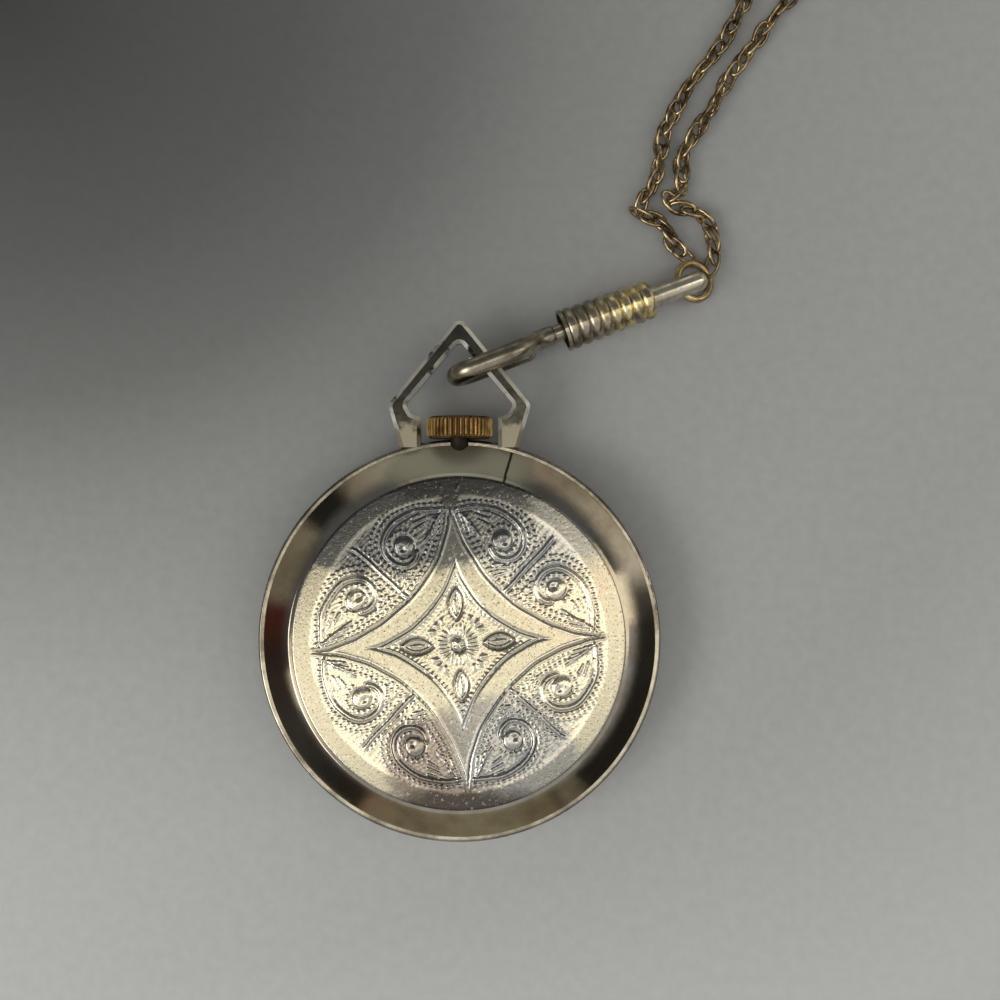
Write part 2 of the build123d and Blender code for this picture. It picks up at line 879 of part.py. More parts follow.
# Going train, each wheel in one piece with its pinion and arbor
third_wheel = train_wheel(
    third_place, third_teeth, third_radius, third_level, 5,
    train_pinion_teeth, third_pinion, centre_level - pinion_overlap,
    centre_level + wheel_plate + pinion_overlap,
)
fourth_wheel = train_wheel(
    fourth_place, fourth_teeth, fourth_radius, fourth_level, 5,
    train_pinion_teeth, fourth_pinion, third_level - mesh_gap, fourth_level,
)
escape_wheel = train_wheel(
    escape_place, escape_teeth, escape_radius, escape_level, 4,
    escape_pinion_teeth, escape_pinion, fourth_level - pinion_overlap,
    fourth_level + wheel_plate + pinion_overlap,
)

# Hand levels and the motion work in front of the mainplate
motion_gap = 0.1
cannon_clear = 0.4
cannon_wall = 0.2
hand_thickness = 0.15
hand_gap = 0.2
hour_pipe_wall = 0.25
cannon_leaf_radius = 0.9
cannon_leaves = 12
hour_radius = 2.3
hour_teeth = 40
minute_teeth = 36
minute_leaves = 10
cannon_front = crystal_thickness + cannon_clear
minute_hand_front = cannon_front + motion_gap
hour_pipe_front = minute_hand_front + hand_thickness + hand_gap
hour_hand_front = hour_pipe_front + slip
hour_level = dial_back + motion_gap
leaf_front = hour_level + wheel_plate + motion_gap
leaf_back = plate_front - motion_gap
minute_level = leaf_front + slip
cannon_radius = centre_arbor_radius + cannon_wall
hour_pipe_bore = cannon_radius + slip
hour_pipe_radius = hour_pipe_bore + hour_pipe_wall
minute_distance = distance(centre_place, minute_wheel_place)
minute_radius = minute_distance - cannon_leaf_radius - mesh_gap
minute_pinion = minute_distance - hour_radius - mesh_gap

with BuildPart() as centre_wheel:
    with BuildSketch(Plane.XY.offset(centre_level)):
        with BuildLine():
            Polyline(toothed(centre_place, centre_teeth, centre_radius, tooth_depth), close=True)
        make_face()
        Circle(centre_radius - wheel_rim, mode=Mode.SUBTRACT)
        Circle(hub_radius)
        with PolarLocations(0, 5):
            Rectangle(centre_radius - wheel_rim / 2, spoke_width, align=(Align.MIN, Align.CENTER))
    extrude(amount=wheel_plate)
    with BuildSketch(Plane.XY.offset(barrel_tooth_front)):
        with BuildLine():
            Polyline(
                toothed(centre_place, train_pinion_teeth, centre_pinion, pinion_depth / 2),
                close=True,
            )
        make_face()
    extrude(amount=centre_level - barrel_tooth_front)
    with BuildSketch(Plane.XY.offset(cannon_front)):
        Circle(centre_arbor_radius)
    extrude(amount=arbor_back - cannon_front)
with BuildPart() as cannon_pinion:
    with BuildSketch(Plane.XY.offset(cannon_front)):
        Circle(cannon_radius)
    extrude(amount=leaf_back - cannon_front)
    with BuildSketch(Plane.XY.offset(leaf_front)):
        with BuildLine():
            Polyline(toothed(centre_place, cannon_leaves, cannon_leaf_radius, pinion_depth), close=True)
        make_face()
    extrude(amount=leaf_back - leaf_front)
    with BuildSketch(Plane.XY.offset(cannon_front)):
        Circle(centre_arbor_radius)
    extrude(amount=leaf_back - cannon_front, mode=Mode.SUBTRACT)
with BuildPart() as hour_wheel:
    with BuildSketch(Plane.XY.offset(hour_level)):
        with BuildLine():
            Polyline(toothed(centre_place, hour_teeth, hour_radius, tooth_depth), close=True)
        make_face()
    extrude(amount=wheel_plate)
    with BuildSketch(Plane.XY.offset(hour_pipe_front)):
        Circle(hour_pipe_radius)
    extrude(amount=hour_level - hour_pipe_front)
    with BuildSketch(Plane.XY.offset(hour_pipe_front)):
        Circle(hour_pipe_bore)
    extrude(amount=hour_level + wheel_plate - hour_pipe_front, mode=Mode.SUBTRACT)
with BuildPart() as minute_wheel:
    with BuildSketch(Plane.XY.offset(minute_level)):
        with BuildLine():
            Polyline(toothed(minute_wheel_place, minute_teeth, minute_radius, tooth_depth), close=True)
        make_face()
    extrude(amount=wheel_plate)
    with BuildSketch(Plane.XY.offset(hour_level - slip)):
        with BuildLine():
            Polyline(
                toothed(minute_wheel_place, minute_leaves, minute_pinion, pinion_depth), close=True
            )
        make_face()
    extrude(amount=minute_level - hour_level + slip)
    with BuildSketch(Plane.XY.offset(dial_back)):
        with Locations(minute_wheel_place):
            Circle(post_radius + slip)
    extrude(amount=motion_space, mode=Mode.SUBTRACT)


# Hands: tapered batons with a broad waist, seen through the crystal
def hand(front, bore, hub, length, width):
    waist_share, root_share = 0.3, 0.35
    with BuildPart() as made:
        with BuildSketch(Plane.XY.offset(front)):
            Circle(hub)
            with BuildLine():
                Polyline(
                    (-width * root_share, 0),
                    (-width / 2, length * waist_share),
                    (0, length),
                    (width / 2, length * waist_share),
                    (width * root_share, 0),
                    close=True,
                )
            make_face()
            Circle(bore, mode=Mode.SUBTRACT)
        extrude(amount=hand_thickness)
    return made


dial_margin = 1.25
marker_inset = 3.0
hour_hand_share = 0.66
dial_radius = case_bore - dial_margin
marker_inner = dial_radius - marker_inset
hour_hand_length = hour_hand_share * marker_inner
hour_hand_width = 1.3
minute_hand_length = marker_inner
minute_hand_width = 1.0
hand_hub_wall = 0.4
hour_hand = hand(
    hour_hand_front, hour_pipe_radius, hour_pipe_radius + hand_hub_wall,
    hour_hand_length, hour_hand_width,
)
minute_hand = hand(
    minute_hand_front, cannon_radius, cannon_radius + hand_hub_wall,
    minute_hand_length, minute_hand_width,
)

# Dial: a plate on two feet, with applied batons for the hours and a bead track for the minutes
dial_bore = hour_pipe_radius + 3 * slip
marker_length = 1.7
marker_width = 0.5
marker_height = 0.2
with BuildPart() as dial:
    with BuildSketch(Plane.XY.offset(dial_front)):
        Circle(dial_radius)
        Circle(dial_bore, mode=Mode.SUBTRACT)
    extrude(amount=dial_thickness)
    with BuildSketch(Plane.XY.offset(dial_back)):
        with Locations(dial_feet):
            Circle(dial_foot_radius)
    extrude(amount=dial_foot_length)
with BuildPart() as hour_markers:
    with BuildSketch(Plane.XY.offset(dial_front)):
        with PolarLocations(marker_inner + marker_length / 2, 12):
            Rectangle(marker_length, marker_width)
    extrude(amount=-marker_height)

# Pallet fork and its two stones, between the escape wheel and the balance
fork_length = 2.95
fork_width = 0.3
fork_arm = 1.5
fork_arm_width = 0.4
stone_length = 0.75
stone_width = 0.2
balance_angle = heading(pallet_place, balance_place)
quarter_turns = (quarter_turn, -quarter_turn)
with BuildPart() as pallet_fork:
    with BuildSketch(Plane.XY.offset(escape_level)):
        with BuildLine():
            Line(pallet_place, polar(pallet_place, fork_length, balance_angle))
        trace(line_width=fork_width)
        with BuildLine():
            Line(*[polar(pallet_place, fork_arm, balance_angle + turn) for turn in quarter_turns])
        trace(line_width=fork_arm_width)
        with Locations(pallet_place):
            Circle(fork_arm_width)
    extrude(amount=wheel_plate)
    with BuildSketch(Plane.XY.offset(arbor_front)):
        with Locations(pallet_place):
            Circle(arbor_radius)
    extrude(amount=pallet_bar_front + pallet_bar_thickness - arbor_front - pivot_inset)
with BuildPart() as pallet_stones:
    with BuildSketch(Plane.XY.offset(escape_level)):
        for turn in quarter_turns:
            arm_end = polar(pallet_place, fork_arm - stone_width / 2, balance_angle + turn)
            root = polar(arm_end, fork_arm_width / 2, balance_angle + 180)
            with BuildLine():
                Line(root, polar(root, stone_length, balance_angle + 180))
            trace(line_width=stone_width)
    extrude(amount=wheel_plate)

# Balance wheel with its staff and roller, and the hairspring with its stud under the cock
balance_radius = 3.4
balance_rim = 0.4
balance_height = 0.36
balance_spoke = 0.45
balance_hub = 0.45
roller_radius = 0.75
roller_thickness = 0.1
roller_pin_radius = 0.08
roller_pin_place = polar(balance_place, 0.8 * roller_radius, balance_angle + 180)
balance_front = escape_level + wheel_plate + 2 * level_gap
balance_back = balance_front + balance_height
roller_front = escape_level + wheel_plate + slip
with BuildPart() as balance_wheel:
    with BuildSketch(Plane.XY.offset(balance_front)):
        with Locations(balance_place):
            Circle(balance_radius)
            Circle(balance_radius - balance_rim, mode=Mode.SUBTRACT)
    extrude(amount=balance_height)
    with BuildSketch(Plane.XY.offset(balance_front + roller_thickness)):
        with Locations(balance_place):
            with PolarLocations(0, 3):
                Rectangle(
                    balance_radius - balance_rim / 2, balance_spoke, align=(Align.MIN, Align.CENTER)
                )
    extrude(amount=wheel_plate)
    for radius, front, back in (
        (arbor_radius, arbor_front, arbor_back),
        (roller_radius, roller_front, roller_front + roller_thickness),
        (balance_hub, roller_front + roller_thickness, balance_back),
    ):
        with BuildSketch(Plane.XY.offset(front)):
            with Locations(balance_place):
                Circle(radius)
        extrude(amount=back - front)
    with BuildSketch(Plane.XY.offset(roller_front)):
        with Locations(roller_pin_place):
            Circle(roller_pin_radius)
    extrude(amount=-wheel_plate)

hair_inner = 0.6
hair_pitch = 0.17
hair_half_turns = 18
hair_strip = 0.05
hair_height = 0.16
stud_radius = 0.15
hair_front = balance_back + level_gap
hair_outer = hair_inner + hair_pitch * hair_half_turns / 2
with BuildPart() as hairspring:
    with BuildSketch(Plane.XY.offset(hair_front)):
        with BuildLine():
            spiral_line(balance_place, hair_inner, hair_pitch, hair_half_turns)
        trace(line_width=hair_strip)
    extrude(amount=hair_height)
    with BuildSketch(Plane.XY.offset(hair_front)):
        with Locations((balance_place[0] + hair_outer, balance_place[1])):
            Circle(stud_radius)
    extrude(amount=bridge_front - hair_front)

# Winding stem: tip, square, neck with the lever's groove, and the shaft out to the crown
stem_groove_place = setting_lever_place[1]
with BuildPart() as winding_stem:
    for radius, start, end in (
        (stem_tip_radius, stem_tip_start, stem_square_start),
        (stem_radius, pinion_start - slip, stem_groove_place - stem_groove_width / 2),
        (stem_groove_radius, pinion_start, stem_groove_place + stem_groove_width),
        (stem_radius, stem_groove_place + stem_groove_width / 2, crown_front + crown_length - crown_bevel),
    ):
        with BuildSketch(stem_plane(start)):
            Circle(radius)
        extrude(amount=end - start)
    with BuildSketch(stem_plane(stem_square_start)):
        Rectangle(2 * square_half, 2 * square_half)
    extrude(amount=pinion_start - stem_square_start)
with BuildPart() as winding_pinion:
    with BuildSketch(stem_plane(pinion_start)):
        with BuildLine():
            Polyline(
                toothed((0, 0), winding_pinion_teeth, winding_pinion_radius, tooth_depth), close=True
            )
        make_face()
        Circle(stem_radius + slip, mode=Mode.SUBTRACT)
    extrude(amount=pinion_length)
with BuildPart() as sliding_clutch:
    with BuildSketch(stem_plane(clutch_start)):
        Circle(clutch_radius)
    extrude(amount=clutch_length)
    with BuildSketch(stem_plane(clutch_lever_place[1] - clutch_groove_width / 2)):
        Circle(clutch_radius + slip)
        Circle(clutch_radius - clutch_groove, mode=Mode.SUBTRACT)
    extrude(amount=clutch_groove_width, mode=Mode.SUBTRACT)
    with BuildSketch(stem_plane(clutch_start)):
        Rectangle(2 * (square_half + slip), 2 * (square_half + slip))
    extrude(amount=clutch_length, mode=Mode.SUBTRACT)

# Setting lever and clutch lever: each turns on a screw and reaches a groove with a pin
lever_thickness = 0.35
lever_width = 0.8
lever_eye = 0.6
lever_pin_radius = 0.15
lever_back = plate_front - motion_gap
lever_front = lever_back - lever_thickness
lever_screw_head = 0.16


def keyless_lever(place, groove_radius):
    pin_x = groove_radius + touch + lever_pin_radius
    with BuildPart() as made:
        with BuildSketch(Plane.XY.offset(lever_front)):
            with BuildLine():
                Line(place, (pin_x, place[1]))
            trace(line_width=lever_width)
            with Locations(place):
                Circle(lever_eye)
                Circle(lever_screw_radius + slip, mode=Mode.SUBTRACT)
        extrude(amount=lever_thickness)
        with BuildSketch(Plane.XY.offset(lever_front)):
            with Locations((pin_x, place[1])):
                Circle(lever_pin_radius)
        extrude(amount=stem_z - lever_front)
    return made


setting_lever = keyless_lever(setting_lever_place, stem_groove_radius)
clutch_lever = keyless_lever(clutch_lever_place, clutch_radius - clutch_groove)
lever_screws = screws(
    [setting_lever_place, clutch_lever_place],
    lever_screw_radius,
    plate_back - screw_depth,
    lever_front - slip,
    lever_eye - slip,
    -lever_screw_head,
)

# Casing clamps: two small plates screwed to the movement ring that hold the mainplate down
clamp_angles = (15, 225)
clamp_inner = movement_radius - 0.75
clamp_length = 2.7
clamp_width = 2.4
clamp_thickness = 0.25
clamp_screw_radius = ring_bore + 1.1
clamp_screw_places = [polar((0, 0), clamp_screw_radius, angle) for angle in clamp_angles]
with BuildPart() as casing_clamps:
    with BuildSketch(Plane.XY.offset(plate_back)):
        for angle in clamp_angles:
            with BuildLine():
                Line(
                    polar((0, 0), clamp_inner, angle),
                    polar((0, 0), clamp_inner + clamp_length, angle),
                )
            trace(line_width=clamp_width)
        with Locations(clamp_screw_places):
            Circle(screw_shank, mode=Mode.SUBTRACT)
    extrude(amount=clamp_thickness)
clamp_screws = screws(
    clamp_screw_places,
    screw_shank,
    plate_back - screw_depth,
    plate_back + clamp_thickness,
    screw_head_radius,
    screw_head,
)
with BuildPart() as clamp_bores:
    with BuildSketch(Plane.XY.offset(plate_back - screw_depth)):
        with Locations(clamp_screw_places):
            Circle(screw_shank)
    extrude(amount=screw_depth)
movement_ring.part = movement_ring.part - clamp_bores.part

# Clasp: the frame that its pieces share. It crosses the bow's right leg and slopes to the table
clasp_yaw = 20.65
clasp_drop = 3.4
leg_crossing_share = 0.453
hook_shank = 6.68
hook_offset = 0.39
mouth_drop = 0.6
level_along = Vector(cos(radians(clasp_yaw)), sin(radians(clasp_yaw)), 0)
side = Vector(-sin(radians(clasp_yaw)), cos(radians(clasp_yaw)), 0)
upright = Vector(0, 0, 1)
along = level_along * cos(radians(clasp_drop)) - upright * sin(radians(clasp_drop))
above = along.cross(side)
outer_top, outer_low = Vector(0, bow_apex, stem_z), Vector(bow_half_width, bow_corner, stem_z)
inner_top = Vector(0, bow_window_apex, stem_z)
inner_low = Vector(bow_window_half_width, bow_window_corner, stem_z)
outer_crossing = outer_top + (outer_low - outer_top) * leg_crossing_share
inner_crossing = inner_top + (inner_low - inner_top) * leg_crossing_share
crossing = (outer_crossing + inner_crossing) / 2
leg_across = (outer_low - outer_top).cross(upright).normalized()
leg_reach = (outer_crossing - crossing).dot(leg_across) / level_along.dot(leg_across)
hook_reach = leg_reach + hook_shank
mouth = crossing + level_along * hook_reach + side * hook_offset - upright * mouth_drop
mouth_plane = Plane(origin=mouth, x_dir=side, z_dir=along)
axis_plane = Plane(origin=mouth, x_dir=along, z_dir=-side)
clasp_axis = Axis(mouth, along)


def on_axis(s, across=0, height=0):
    return mouth + along * s + side * across + above * height


def at_height(s, across, z):
    point = mouth + level_along * s + side * across
    return Vector(point.X, point.Y, z)


# Hook: one bent wire that passes over the leg, turns back under it and ends in a thin nose
hook_wire = 0.9
hook_slack = 0.15
hook_low_across = -0.5
hook_high_across = -0.4
hook_play = 0.37
hook_rise = 5.6
hook_start = 1.3
hook_end = 3.7
nose_radius = 0.36
nose_height = 1.18
nose_depth = 0.52
neck_radius = 0.78
neck_depth = 0.7
core_radius = 0.5
core_length = 6.9
hook_spread = bow_thickness + 2 * (hook_wire + hook_slack)
hook_low = stem_z - hook_spread / 2
hook_high = stem_z + hook_spread / 2
hook_bend = -hook_reach - leg_reach - hook_play
bend_middle = (hook_low_across + hook_high_across) / 2
nose_root = at_height(-hook_end, hook_low_across, hook_low)
with BuildPart() as clasp_hook:
    with BuildLine():
        Spline(
            on_axis(-hook_start),
            at_height(-hook_rise, hook_high_across, hook_high),
            tangents=(-along, -level_along),
        )
        Line(
            at_height(-hook_rise, hook_high_across, hook_high),
            at_height(hook_bend, hook_high_across, hook_high),
        )
        ThreePointArc(
            at_height(hook_bend, hook_high_across, hook_high),
            at_height(hook_bend - hook_spread / 2, bend_middle, stem_z),
            at_height(hook_bend, hook_low_across, hook_low),
        )
        Line(at_height(hook_bend, hook_low_across, hook_low), nose_root)
    with BuildSketch(Plane(origin=on_axis(-hook_start), z_dir=-along)):
        Circle(hook_wire)
    sweep()
    with Locations(on_axis(-hook_start), nose_root):
        Sphere(hook_wire)
    for radius, depth in ((neck_radius, neck_depth), (core_radius, core_length)):
        with BuildSketch(mouth_plane.offset(-hook_start)):
            Circle(radius)
        extrude(amount=hook_start + depth)
    with BuildLine() as nose_line:
        Spline(
            nose_root,
            on_axis(nose_depth, 0, -nose_height),
            tangents=(level_along, along),
        )
    with BuildSketch(Plane(origin=nose_root, z_dir=nose_line.line % 0)):
        Circle(nose_radius)
    sweep()
    with Locations(on_axis(nose_depth, 0, -nose_height)):
        Sphere(nose_radius)

# Sleeve: a ribbed tube on the core pin; its open mouth covers the nose and its flange takes the spring
sleeve_length = 8.55
sleeve_mouth_radius = 1.92
sleeve_tail_radius = 1.8
sleeve_ribs = 8
sleeve_lip = 0.3
rib_depth = 0.25
mouth_bore = 1.6
mouth_depth = 1.5
flange_thickness = 0.6
flange_bore = core_radius + 0.08
rear_bore = 1.25
flange_back = mouth_depth + flange_thickness
rib_pitch = (sleeve_length - sleeve_lip) / sleeve_ribs


def sleeve_radius(s):
    return sleeve_mouth_radius + (sleeve_tail_radius - sleeve_mouth_radius) * s / sleeve_length


with BuildPart() as clasp_sleeve:
    with BuildSketch(axis_plane):
        with BuildLine():
            Polyline(
                (sleeve_lip, sleeve_radius(sleeve_lip) - rib_depth),
                (sleeve_lip, sleeve_radius(0)),
                (0, sleeve_radius(0)),
                (0, mouth_bore),
                (mouth_depth, mouth_bore),
                (mouth_depth, flange_bore),
                (flange_back, flange_bore),
                (flange_back, rear_bore),
                (sleeve_length, rear_bore),
                (sleeve_length, sleeve_radius(sleeve_length) - rib_depth),
            )
            for rib in range(sleeve_ribs):
                start = sleeve_lip + rib * rib_pitch
                middle = start + rib_pitch / 2
                end = start + rib_pitch
                ThreePointArc(
                    (start, sleeve_radius(start) - rib_depth),
                    (middle, sleeve_radius(middle)),
                    (end, sleeve_radius(end) - rib_depth),
                )
        make_face()
    revolve(axis=clasp_axis)

# Eye piece: a collar and rod pressed on the core pin, with a staple under the rod for the ring
collar_start = 6.0
collar_length = 1.2
eye_collar_radius = 1.18
rod_radius = 0.9
rod_length = 13.05
staple_radius = 0.55
staple_drop = 2.75
staple_back = 10.5
staple_front = 13.25
staple_round = 1.0
with BuildPart() as clasp_eye:
    with BuildSketch(axis_plane):
        with BuildLine():
            Polyline(
                (rod_length + rod_radius, 0),
                (core_length, 0),
                (core_length, core_radius),
                (collar_start, core_radius),
                (collar_start, eye_collar_radius),
                (collar_start + collar_length, eye_collar_radius),
                (collar_start + collar_length, rod_radius),
                (rod_length, rod_radius),
            )
            RadiusArc((rod_length, rod_radius), (rod_length + rod_radius, 0), rod_radius)
        make_face()
    revolve(axis=clasp_axis)
    with BuildLine(axis_plane):
        FilletPolyline(
            (staple_front, 0),
            (staple_front, -staple_drop),
            (staple_back, -staple_drop),
            (staple_back, 0),
            radius=staple_round,
        )
    with BuildSketch(Plane(origin=on_axis(staple_front), z_dir=-above)):
        Circle(staple_radius)
    sweep()

# Spring: a coil round the core pin between the sleeve's flange and the collar
spring_wire = 0.12
spring_radius = 0.85
spring_turns = 7
spring_start = flange_back + spring_wire + slip
spring_length = collar_start - spring_start - spring_wire - slip
with BuildPart() as clasp_spring:
    with BuildLine() as spring_line:
        Helix(
            pitch=spring_length / spring_turns,
            height=spring_length,
            radius=spring_radius,
            center=on_axis(spring_start),
            direction=along,
        )
    with BuildSketch(Plane(origin=spring_line.line @ 0, z_dir=spring_line.line % 0)):
        Circle(spring_wire)
    sweep(is_frenet=True)

# Jump ring: it hangs in the staple and leans down to the table
ring_wire = 0.35
ring_major = 1.7
ring_lean = 25.0
ring_place = 11.6
ring_across = 0.3
ring_gap_share = 0.5
staple_inside = rod_radius + (staple_drop - staple_radius - rod_radius) * ring_gap_share
ring_pivot = on_axis(ring_place, ring_across, -staple_inside)
ring_along = level_along * cos(radians(ring_lean)) - upright * sin(radians(ring_lean))
ring_centre = ring_pivot + ring_along * ring_major
with BuildPart() as jump_ring:
    with BuildSketch(Plane(origin=ring_pivot, x_dir=ring_along, z_dir=side)):
        Circle(ring_wire)
    revolve(axis=Axis(ring_centre, ring_along.cross(side)))

# Necklace chain: two strands from the ring, and the rest of its length in a neat two-layer coil
chain_radius = 0.8
chain_gap = 0.7
corner_share = 0.45
coil_centre = (39.4, 75.9)
coil_outer = 14.4
coil_pitch = 2 * chain_radius + chain_gap
coil_in_turns = 4.75
coil_climb_turns = 0.5
coil_out_turns = 4.5
coil_inner = coil_outer - coil_pitch * coil_in_turns
coil_turns = coil_in_turns + coil_climb_turns + coil_out_turns
coil_start = (coil_centre[0] - coil_outer, coil_centre[1])
coil_end_radius = coil_inner + coil_pitch * coil_out_turns
coil_end = (coil_centre[0], coil_centre[1] - coil_end_radius)
coil_stub = 2 * chain_radius
upper_layer = chain_radius + coil_pitch
left_route = [
    (20.97, 34.82), (19.3, 37.0), (17.2, 38.9), (16.7, 41.2), (17.7, 43.7), (18.5, 46.4),
    (20.1, 49.2), (22.0, 52.0), (24.2, 55.0), (26.2, 58.6), (27.0, 62.5), (26.1, 66.6),
    (25.0, 70.5), (coil_start[0], coil_start[1] - coil_stub),
]
right_route = [
    (23.4, 34.75), (23.3, 37.1), (21.4, 39.2), (20.1, 41.5), (20.6, 44.3), (22.2, 47.0),
    (23.8, 50.0), (25.8, 53.0), (28.0, 55.9), (30.2, 58.6),
]
right_climb = [(32.4, 60.5, 0.3), (34.4, 61.7, 0.7)]


# Straight runs joined by arcs, each as large as its two runs allow
def rounded_runs(points):
    at = points[0]
    for before, here, after in zip(points, points[1:], points[2:]):
        into = (here - before).normalized()
        out = (after - here).normalized()
        reach = corner_share * min((here - before).length, (after - here).length)
        print("chain bend radius", round(reach / tan(radians(into.get_angle(out)) / 2), 2))
        Line(at, here - into * reach)
        at = here + out * reach
        TangentArc(here - into * reach, at, tangent=into)
    Line(at, points[-1])


# A point of the coil's centre line: in on the floor, up at the middle, and out on top
def coil_point(turn):
    climb = min(max((turn - coil_in_turns) / coil_climb_turns, 0), 1)
    rise = coil_pitch * climb * climb * (3 - 2 * climb)
    radius = coil_inner + coil_pitch * max(
        coil_in_turns - turn, turn - coil_in_turns - coil_climb_turns, 0
    )
    x, y = polar(coil_centre, radius, 180 - 360 * turn)
    return Vector(x, y, chain_radius + rise)


def coil_heading(turn):
    near = 0.01
    return (coil_point(turn + near) - coil_point(turn - near)).normalized()


# Two tangent arcs from one point and heading to another
def biarc(start, start_heading, end, end_heading):
    gap = end - start
    square = 2 * (1 - start_heading.dot(end_heading))
    middle = 2 * gap.dot(start_heading + end_heading)
    reach = ((middle**2 + 4 * square * gap.dot(gap)) ** 0.5 - middle) / (2 * square)
    near, far = start + start_heading * reach, end - end_heading * reach
    join = (near + far) / 2
    TangentArc(start, join, tangent=start_heading)
    TangentArc(join, end, tangent=far - near)


def coil_runs():
    knots = [quarter / 4 for quarter in range(int(4 * coil_turns) + 1)]
    points = [coil_point(knot) for knot in knots]
    headings = [Vector(0, 1, 0)] + [coil_heading(knot) for knot in knots[1:-1]] + [Vector(-1, 0, 0)]
    Line(points[0] - headings[0] * coil_stub, points[0])
    for ends in zip(points, headings, points[1:], headings[1:]):
        biarc(*ends)
    Line(points[-1], points[-1] + headings[-1] * coil_stub)


# The tube that a piece of chain fills, with its length and volume printed against each other
def chain_tube(line):
    with BuildPart() as made:
        with BuildSketch(Plane(origin=line @ 0, z_dir=line % 0)):
            Circle(chain_radius)
        sweep(path=line)
    solid_length = made.part.volume / (pi * chain_radius**2)
    print("chain run", round(line.length, 1), "mm, solid", round(solid_length, 1), "mm")
    return made


with BuildLine() as left_line:
    rounded_runs([Vector(x, y, chain_radius) for x, y in left_route])
right_points = [Vector(x, y, chain_radius) for x, y in right_route]
right_points += [Vector(x, y, chain_radius + share * coil_pitch) for x, y, share in right_climb]
right_points += [
    Vector(coil_end[0] - stubs * coil_stub, coil_end[1], upper_layer) for stubs in (2, 1)
]
with BuildLine() as right_line:
    rounded_runs(right_points)
with BuildLine() as coil_line:
    coil_runs()
chain_left = chain_tube(left_line.wire())
chain_right = chain_tube(right_line.wire())
chain_coil = chain_tube(coil_line.wire())

# The least gap between the coil's turns, measured on points half a turn or more apart
samples = 12
coil_samples = [edge @ (step / samples) for edge in coil_line.edges() for step in range(samples)]
apart = 4 * samples
least = min(
    (a - b).length
    for index, a in enumerate(coil_samples)
    for b in coil_samples[index + apart :]
)
print("least gap in the coil", round(least - 2 * chain_radius, 2))

# One file for each piece
pieces = {
    "case_middle": case_middle,
    "case_tube": case_tube,
    "back_band": back_band,
    "back_cover": back_cover,
    "front_bezel": front_bezel,
    "crystal": crystal,
    "crystal_gasket": crystal_gasket,
    "bow": bow,
    "crown": crown,
    "dial": dial,
    "hour_markers": hour_markers,
    "hour_hand": hour_hand,
    "minute_hand": minute_hand,
    "hour_wheel": hour_wheel,
    "cannon_pinion": cannon_pinion,
    "minute_wheel": minute_wheel,
    "movement_ring": movement_ring,
    "casing_clamps": casing_clamps,
    "clamp_screws": clamp_screws,
    "mainplate": mainplate,
    "barrel_bridge": barrel_bridge,
    "train_bridge": train_bridge,
    "pallet_bridge": pallet_bridge,
    "balance_cock": balance_cock,
    "bridge_screws": bridge_screws,
    "pallet_screws": pallet_screws,
    "jewels": jewels,
    "barrel": barrel,
    "barrel_lid": barrel_lid,
    "barrel_arbor": barrel_arbor,
    "mainspring": mainspring,
    "ratchet_wheel": ratchet_wheel,
    "ratchet_screw": ratchet_screw,
    "crown_wheel": crown_wheel,
    "crown_wheel_screw": crown_wheel_screw,
    "click": click,
    "click_screw": click_screw,
    "centre_wheel": centre_wheel,
    "third_wheel": third_wheel,
    "fourth_wheel": fourth_wheel,
    "escape_wheel": escape_wheel,
    "pallet_fork": pallet_fork,
    "pallet_stones": pallet_stones,
    "balance_wheel": balance_wheel,
    "hairspring": hairspring,
    "winding_stem": winding_stem,
    "winding_pinion": winding_pinion,
    "sliding_clutch": sliding_clutch,
    "setting_lever": setting_lever,
    "clutch_lever": clutch_lever,
    "lever_screws": lever_screws,
    "clasp_hook": clasp_hook,
    "clasp_sleeve": clasp_sleeve,
    "clasp_eye": clasp_eye,
    "clasp_spring": clasp_spring,
    "jump_ring": jump_ring,
    "chain_left": chain_left,
    "chain_right": chain_right,
    "chain_coil": chain_coil,
}
for name, piece in pieces.items():
    piece.part.label = name
    export_step(piece.part, f"parts/{name}.step")
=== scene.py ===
import math
import random

import bmesh
import bpy
import numpy as np
from mathutils import Matrix, Vector


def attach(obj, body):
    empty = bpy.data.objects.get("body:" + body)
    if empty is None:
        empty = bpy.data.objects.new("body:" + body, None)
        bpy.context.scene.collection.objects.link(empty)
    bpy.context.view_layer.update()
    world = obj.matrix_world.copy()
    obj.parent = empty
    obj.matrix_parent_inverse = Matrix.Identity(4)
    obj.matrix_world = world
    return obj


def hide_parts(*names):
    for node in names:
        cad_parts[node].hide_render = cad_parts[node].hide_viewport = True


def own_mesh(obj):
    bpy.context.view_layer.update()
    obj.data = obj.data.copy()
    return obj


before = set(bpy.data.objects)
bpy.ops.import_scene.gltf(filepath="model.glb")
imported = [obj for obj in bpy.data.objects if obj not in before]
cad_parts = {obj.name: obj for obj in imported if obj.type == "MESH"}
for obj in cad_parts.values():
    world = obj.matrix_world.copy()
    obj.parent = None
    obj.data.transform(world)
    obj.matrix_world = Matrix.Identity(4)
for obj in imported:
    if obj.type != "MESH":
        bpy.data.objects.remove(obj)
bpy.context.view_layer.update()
mm = 0.001

# The photograph's view: straight down from 150 mm over the table, a little up and right of the
# case's centre, so that the bow, the clasp and the first part of the chain are in the frame.
view_place = (3.62 * mm, 12.6 * mm, 150.0 * mm)
view_lens = 58.4
view_sensor = 36.0
camera = bpy.data.objects.new("camera", bpy.data.cameras.new("camera"))
bpy.context.scene.collection.objects.link(camera)
camera.location = view_place
camera.data.lens = view_lens
camera.data.sensor_width = view_sensor
camera.data.clip_start = mm
bpy.context.scene.camera = camera
bpy.context.scene.view_settings.view_transform = "Standard"


